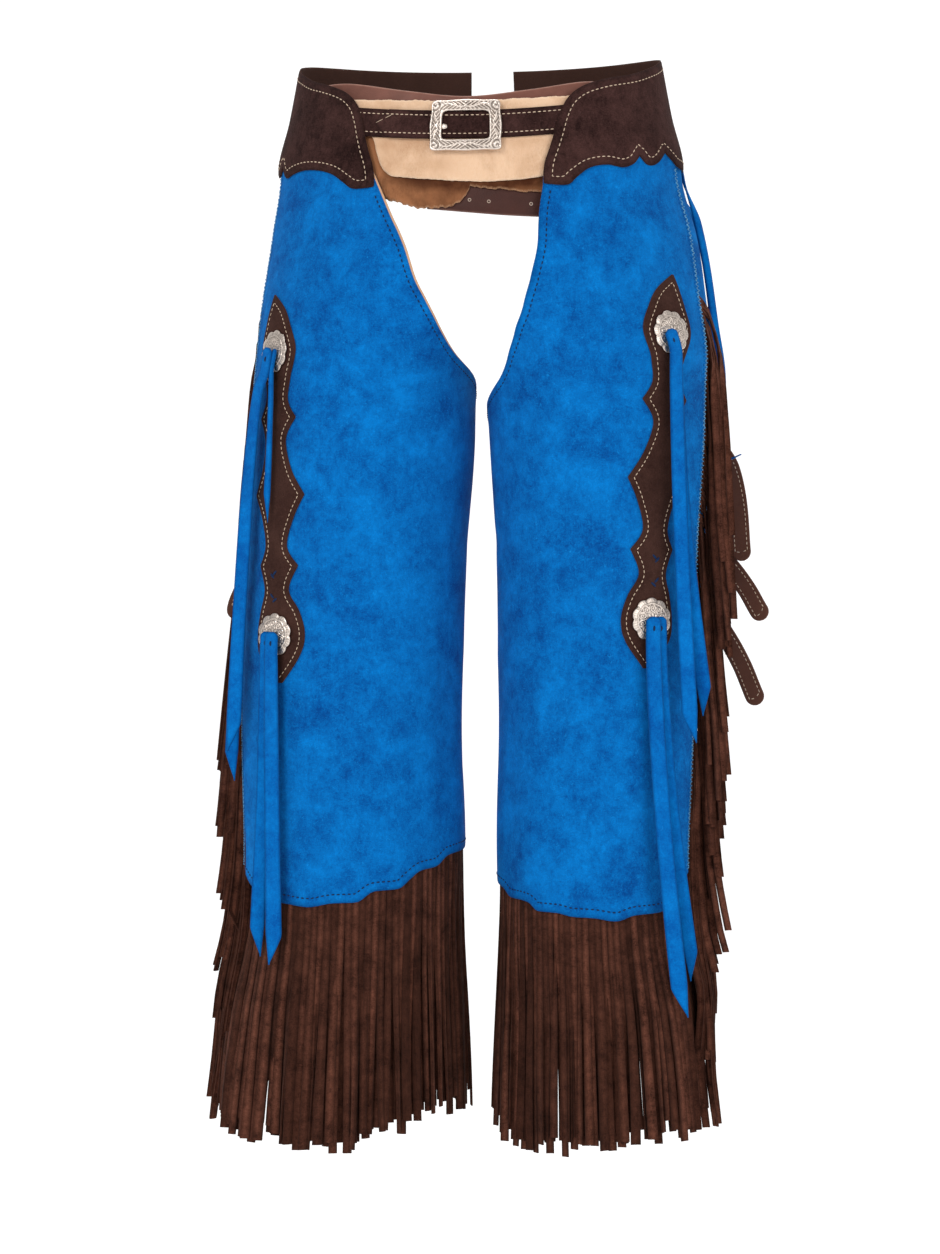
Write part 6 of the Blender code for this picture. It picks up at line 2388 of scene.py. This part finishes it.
@dataclass
class Fringe:
    """The fringes of one leg: two layers round the hem and one down the side seam."""

    side: Side
    strands: int = 84
    strip_end: float = 149.0

    @staticmethod
    def strip_out(angle: Array) -> Array:
        """How far out the hem strip's outer face lies: inside the panel, then inside the wing."""
        return -2 * GAP - 6.2 * rise(angle, 56.0, 64.0)

    def strip(self) -> None:
        """The strip inside the hem that the strands are cut from."""

        def place(u: Array, v: Array, lift: Array) -> Array:
            """Points of the strip at its shares round and down.

            Args:
                u: share round.
                v: share down.
                lift: millimetres over the inner face.

            Returns:
                The points, in millimetres.
            """
            angle = -self.strip_end + 2 * self.strip_end * u
            edge = hem(self.side, angle)
            return FORM.place(self.side, angle, edge - 34.0 + 26.0 * v, self.strip_out(angle) - THIN + lift)

        name = f"{self.side.label}_hem_fringe"
        made = leather_shell(name + "_strip", place, np.linspace(0, 1, 240), close_at_ends(10, 0.5), THIN)
        lay(made, Finish.FRINGE, name, "folded", f"{self.side.label}_leg_leather")

    def hem_layer(self, number: int, inner: float, seed: int, shorter: float) -> Object:
        """One layer of hem strands.

        A strand runs from the strip's lower edge to its tip. It leans, bows and turns by small
        amounts that grow as a soft step of the way down, and its width narrows to its tip.

        Args:
            number: which layer.
            inner: how much further in it starts.
            seed: starts its chance numbers.
            shorter: how much shorter it is.

        Returns:
            The layer.
        """
        chance = np.random.default_rng(seed)
        count, stations = self.strands, 11
        pitch = 2 * self.strip_end / count
        middle = -self.strip_end + pitch * (np.arange(count) + 0.5 + 0.5 * (number - 1) * 0.9)
        middle = np.clip(middle, -148.4, 148.4)[:, None]
        t = np.linspace(0, 1, stations)[None] ** 1.05
        tip = curve_through(middle, TIP_ANGLES, TIP_DROPS[self.side])
        tip = tip + chance.uniform(-10, 5, (count, 1)) - shorter
        top = hem(self.side, middle) - 12.0
        drop = top + (tip - top) * t
        soft = t * t * (3 - 2 * t)
        drift = chance_of(chance, 0.36, count) * soft
        drift = drift + chance_of(chance, 0.28, count) * np.sin(math.pi * t) * t
        angle = middle + pitch * drift * (1.0 if number == 1 else 0.3)
        out = self.strip_out(middle) - THIN / 2 - inner + chance.uniform(-2.5, 4.5, (count, 1)) * soft
        out = out + chance_of(chance, 1.4, count) * np.sin(3 * t) * t
        out = np.minimum(out + 1.7 * (np.arange(count)[:, None] % 2 * 2 - 1) * soft, 5.5)
        until = 1 - rise(middle, 112.0, 140.0)
        if self.side is Side.RIGHT:
            out = out - 15.0 * soft * rise(middle, 36.0, 72.0) * until
        else:
            out = out + 5.0 * np.sin(math.pi * t) * rise(middle, 50.0, 80.0) * until
        centre, outward = FORM.row(self.side, angle, drop, out)
        ahead = FORM.around(self.side, angle, drop, out)
        turned = chance_of(chance, 0.42, count) * soft + chance_of(chance, 0.2, count) * np.sin(5 * t) * t
        flat = unit(ahead) * np.cos(turned)[..., None] + outward * np.sin(turned)[..., None]
        arc = np.linalg.norm(ahead, axis=-1)
        half = pitch * arc / 2 * (1.02 + 0.16 * soft) * chance.uniform(0.90, 1.12, (count, 1))
        deep = unit(np.cross(flat, np.gradient(centre, axis=1))) * (THIN / 2)
        obj = strand_mesh(f"{self.side.label}_hem_strands_{number}", centre, flat * half[..., None], deep)
        dress(obj, Finish.FRINGE)
        return obj

    def side_layer(
        self, number: int, count: int, lanes: tuple[float, float], seed: int, top: float
    ) -> Object:
        """One layer of side strands, from the strip under the front panel.

        A strand comes out level over the wing, turns down within a few millimetres and falls, a
        little outward. Its middle line is a curve over four places, and its width turns with it.

        Args:
            number: which layer.
            count: how many strands.
            lanes: the angles between which they hang.
            seed: starts its chance numbers.
            top: the drop of the first.

        Returns:
            The layer.
        """
        side = self.side
        chance = np.random.default_rng(seed)
        bottom = float(hem(side, np.array(74.0))) - 12.0
        drop = (top + (bottom - top) * (np.arange(count) + 0.5) / count)[:, None]
        lane = chance.uniform(lanes[0], lanes[1], (count, 1))
        low_end = rise(drop, 470.0, 610.0)
        length = 205.0 + chance.uniform(-45, 40, (count, 1)) + 22.0 * np.sin(drop / 27.0) + 35.0 * low_end
        length = np.minimum(length, 930.0 - drop)
        lane = lane - 13.0 * low_end * chance.uniform(0.2, 1.0, (count, 1))
        if side is Side.LEFT:
            lean = 0.02 + 0.085 * rise(drop, 300.0, 420.0) * (1 - rise(drop, 450.0, 600.0))
            lane = lane + 13.0 * (1 - rise(drop, 330.0, 460.0))
        else:
            lean = 0.105 - 0.100 * rise(drop, 480.0, 590.0)
        lean = lean * chance.uniform(0.80, 1.12, (count, 1))
        arc = math.radians(1.0) * FORM.measure(side.label + "_out", drop)
        t = np.linspace(0, 1, 15)[None]
        # The first quarter of the stations follows the bend, the rest the fall.
        bend = rise(t, 0.0, 0.30)
        fall = np.clip((t - 0.14) / 0.86, 0, 1)
        angle = 74.5 + (lane - 74.5) * np.sin(0.5 * math.pi * np.clip(t / 0.30, 0, 1)) ** 0.8
        angle = angle + chance_of(chance, 1.3, count) * fall**2
        angle = angle + chance_of(chance, 0.7, count) * np.sin(4 * fall) * fall
        down = drop + 0.22 * arc * (angle - 76.0) * (1 - fall) + 10.0 * bend * (1 - fall)
        down = down + (length + 10.0) * fall
        low, high = GAP + THIN / 2, GAP + 2 * THIN + GAP
        cover = -GAP - THIN / 2 - (wing_base(angle) + SUEDE)
        over = low + (high - low) * bend + lean * length * fall**1.15
        over = over + chance_of(chance, 1.6, count) * np.sin(math.pi * fall) * fall
        over = np.maximum(over, 4.6 * rise(t, 0.20, 0.42))
        flare = 22.0 if side is Side.RIGHT else 9.0
        over = over - flare * rise(down, 780.0, 900.0) * chance.uniform(0.5, 1.15, (count, 1))
        out = np.where(angle < 78.0, np.minimum(cover, over), over)
        out = np.maximum(out, np.where(angle < 78.0, -9.0, low) - 20.0 * rise(down, 740.0, 800.0))
        centre, outward = FORM.row(side, angle, down, wing_base(angle) + SUEDE + out)
        path = unit(np.gradient(centre, axis=1))
        turned = (1.15 + chance_of(chance, 0.35, count)) * rise(t, 0.22, 0.45)
        level = unit(np.cross(outward, path)) * np.cos(turned)[..., None]
        level = level + outward * np.sin(turned)[..., None]
        half = 4.1 * (1 - 0.16 * fall) * chance.uniform(0.85, 1.1, (count, 1))
        deep = unit(np.cross(level, path)) * (THIN / 2)
        name = f"{side.label}_side_strands_{number}"
        obj = strand_mesh(name, centre, level * half[..., None], deep, SIDE_PALE)
        dress(obj, Finish.FRINGE)
        return obj

    def build(self) -> list[Object]:
        """The strip and all the strands of this leg.

        Returns:
            The layers of strands.
        """
        self.strip()
        sign = self.side.value
        layers = [self.hem_layer(1, 0.0, 11 + sign, 0.0), self.hem_layer(2, 2.2, 41 + sign, 6.0),
                  self.side_layer(1, 50, (80.0, 92.0), 71 + sign, 168.0),
                  self.side_layer(2, 40, (86.0, 97.0), 91 + sign, 172.0)]
        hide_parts(f"{self.side.label}_side_fringe")
        return layers


# ---- Small lace stitches on the tabs

LACE_SPOTS = ((35.2, 413.0, 1.0), (36.8, 415.5, -1.0), (36.6, 434.0, -1.0), (34.8, 438.0, 0.7))


def lace_stitches(side: Side) -> None:
    """Two short lace ends on each side above the tab's lower concho.

    Args:
        side: the leg.
    """
    loops = []
    for angle, drop, lean in LACE_SPOTS:
        x = np.linspace(-1, 1, 30)
        loops.append(FORM.row(side, angle + 1.9 * x, drop + TAB_LOWER[side] + lean * 3.4 * x, LAYER + THIN))
    dress(Thread(30.0, 7.4, 2.3).sew(f"{side.label}_tab_laces", loops), Finish.NAVY)


# ---- Studio


@dataclass(frozen=True)
class Studio:
    """A pale floor and wall in one curve, soft lights, and the camera in front."""

    distance: float = 3.10
    turn: float = 7.0
    height: float = -0.4766
    shift: float = -0.0094
    lens: float = 126.3
    floor_drop: float = 1.15

    def sweep(self) -> None:
        """The floor that curves up into a wall, a quarter circle between them, clear from behind."""
        turn = np.linspace(0, math.pi / 2, 40)
        y = np.concatenate([[-6.0], 2.0 + 2.0 * np.sin(turn), [4.0]])
        z = np.concatenate([[0.0], 2.0 - 2.0 * np.cos(turn), [7.0]]) - self.floor_drop
        points = np.stack(np.broadcast_arrays(np.array([-7.0, 7.0]), y[:, None], z[:, None]), -1)
        obj = new_object("studio_sweep", points.reshape(-1, 3) / MM, grid_faces(len(y), 2)[:, ::-1])
        r = Recipe("studio_paper", 0.9)
        white = (1.0, 1.0, 1.0)
        r.fill(r.shader, {"Emission Color": white, "Emission Strength": 0.30})
        material = r.finish(r.blend(r.noise(3.0), (0.86, 0.86, 0.86), (0.88, 0.88, 0.88)))
        behind = r.node("NewGeometry", {}, "Backfacing")
        clear = r.node("BsdfTransparent", {})
        surface = r.node("MixShader", {0: behind, 1: clear, 2: r.shader.outputs[0]})
        r.fill(r.tree.nodes["Material Output"], {"Surface": surface})
        obj.data.materials.append(material)
        obj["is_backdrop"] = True

    def light(self, name: str, place: Colour, aim: Colour, size: float, watts: float) -> None:
        """A soft square light.

        Args:
            name: the light's name.
            place: where it stands, in metres.
            aim: the point that it faces.
            size: the length of its sides.
            watts: its power.
        """
        data = bpy.data.lights.new(name, "AREA")
        data.shape = "SQUARE"
        data.size = size
        data.energy = watts
        obj = bpy.data.objects.new(name, data)
        bpy.context.scene.collection.objects.link(obj)
        obj.location = place
        ahead = mathutils.Vector(aim) - mathutils.Vector(place)
        obj.rotation_euler = ahead.to_track_quat("-Z", "Y").to_euler()

    def camera(self) -> None:
        """The camera at the height of the middle, a little to the right, looking level."""
        turn = math.radians(self.turn)
        right = mathutils.Vector((math.cos(turn), math.sin(turn), 0.0))
        forward = mathutils.Vector((-math.sin(turn), math.cos(turn), 0.0))
        data = bpy.data.cameras.new("camera")
        data.sensor_fit = "HORIZONTAL"
        data.sensor_width = 36.0
        data.lens = self.lens
        obj = bpy.data.objects.new("camera", data)
        bpy.context.scene.collection.objects.link(obj)
        level = mathutils.Vector((0.0, 0.0, self.height))
        obj.location = right * self.shift - forward * self.distance + level
        obj.rotation_euler = forward.to_track_quat("-Z", "Y").to_euler()
        bpy.context.scene.camera = obj

    def build(self) -> None:
        """The sweep, three lights, a pale surrounding light and the camera."""
        self.sweep()
        middle = (0.0, 0.0, -0.5)
        self.light("key_light", (-1.6, -3.4, 1.5), middle, 1.5, 69.0)
        self.light("fill_light", (2.6, -2.6, 0.4), middle, 2.2, 37.0)
        self.light("top_light", (0.0, 0.6, 2.6), middle, 1.6, 36.0)
        world = bpy.data.worlds.new("studio_world")
        world.use_nodes = True
        world.node_tree.nodes["Background"].inputs["Color"].default_value = (1.0, 1.0, 1.0, 1.0)
        world.node_tree.nodes["Background"].inputs["Strength"].default_value = 0.50
        bpy.context.scene.world = world
        bpy.context.scene.view_settings.view_transform = "Standard"
        self.camera()


# ---- The whole


class Chaps:
    """The whole garment."""

    @staticmethod
    def one_side(side: Side) -> None:
        """Everything that belongs to one leg.

        Args:
            side: the leg.
        """
        leg = Leg(side)
        panel = leg.panel()
        layers = Fringe(side).build()
        declare(panel, layers)
        leg.wing()
        leg.welt()
        leg.stitches()
        for piece in (Yoke(side), Tab(side)):
            piece.build()
            piece.stitches()
        lace_stitches(side)
        for which in CONCHO_PLACES:
            Concho(side, which).build()
        for row in HIP_LACES:
            HipLace(side, *row).build()
        for number in (1, 2, 3):
            strap = LegStrap(side, number)
            strap.build()
            strap.buckle()

    def build(self) -> None:
        """The front, the buckle, the back strap, both legs and the ties."""
        Front().build()
        buckle = Buckle()
        buckle.build()
        buckle.tongue()
        strap = BackStrap()
        strap.build()
        strap.stitches()
        for side in Side:
            self.one_side(side)
        for tie in TIES:
            tie.build()


def main() -> None:
    """Builds the chaps and the studio, and measures the size before and after."""
    logging.basicConfig(level=logging.INFO, format="%(name)s: %(message)s")
    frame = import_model()
    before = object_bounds()
    LOG.info("dressing %d solids", len(frame["nodes"]))
    Chaps().build()
    Studio().build()
    boxes = {"cad": before, "looks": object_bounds()}
    {name: [list(map(float, corner)) for corner in box] for name, box in boxes.items()}


if __name__ == "__main__":
    main()
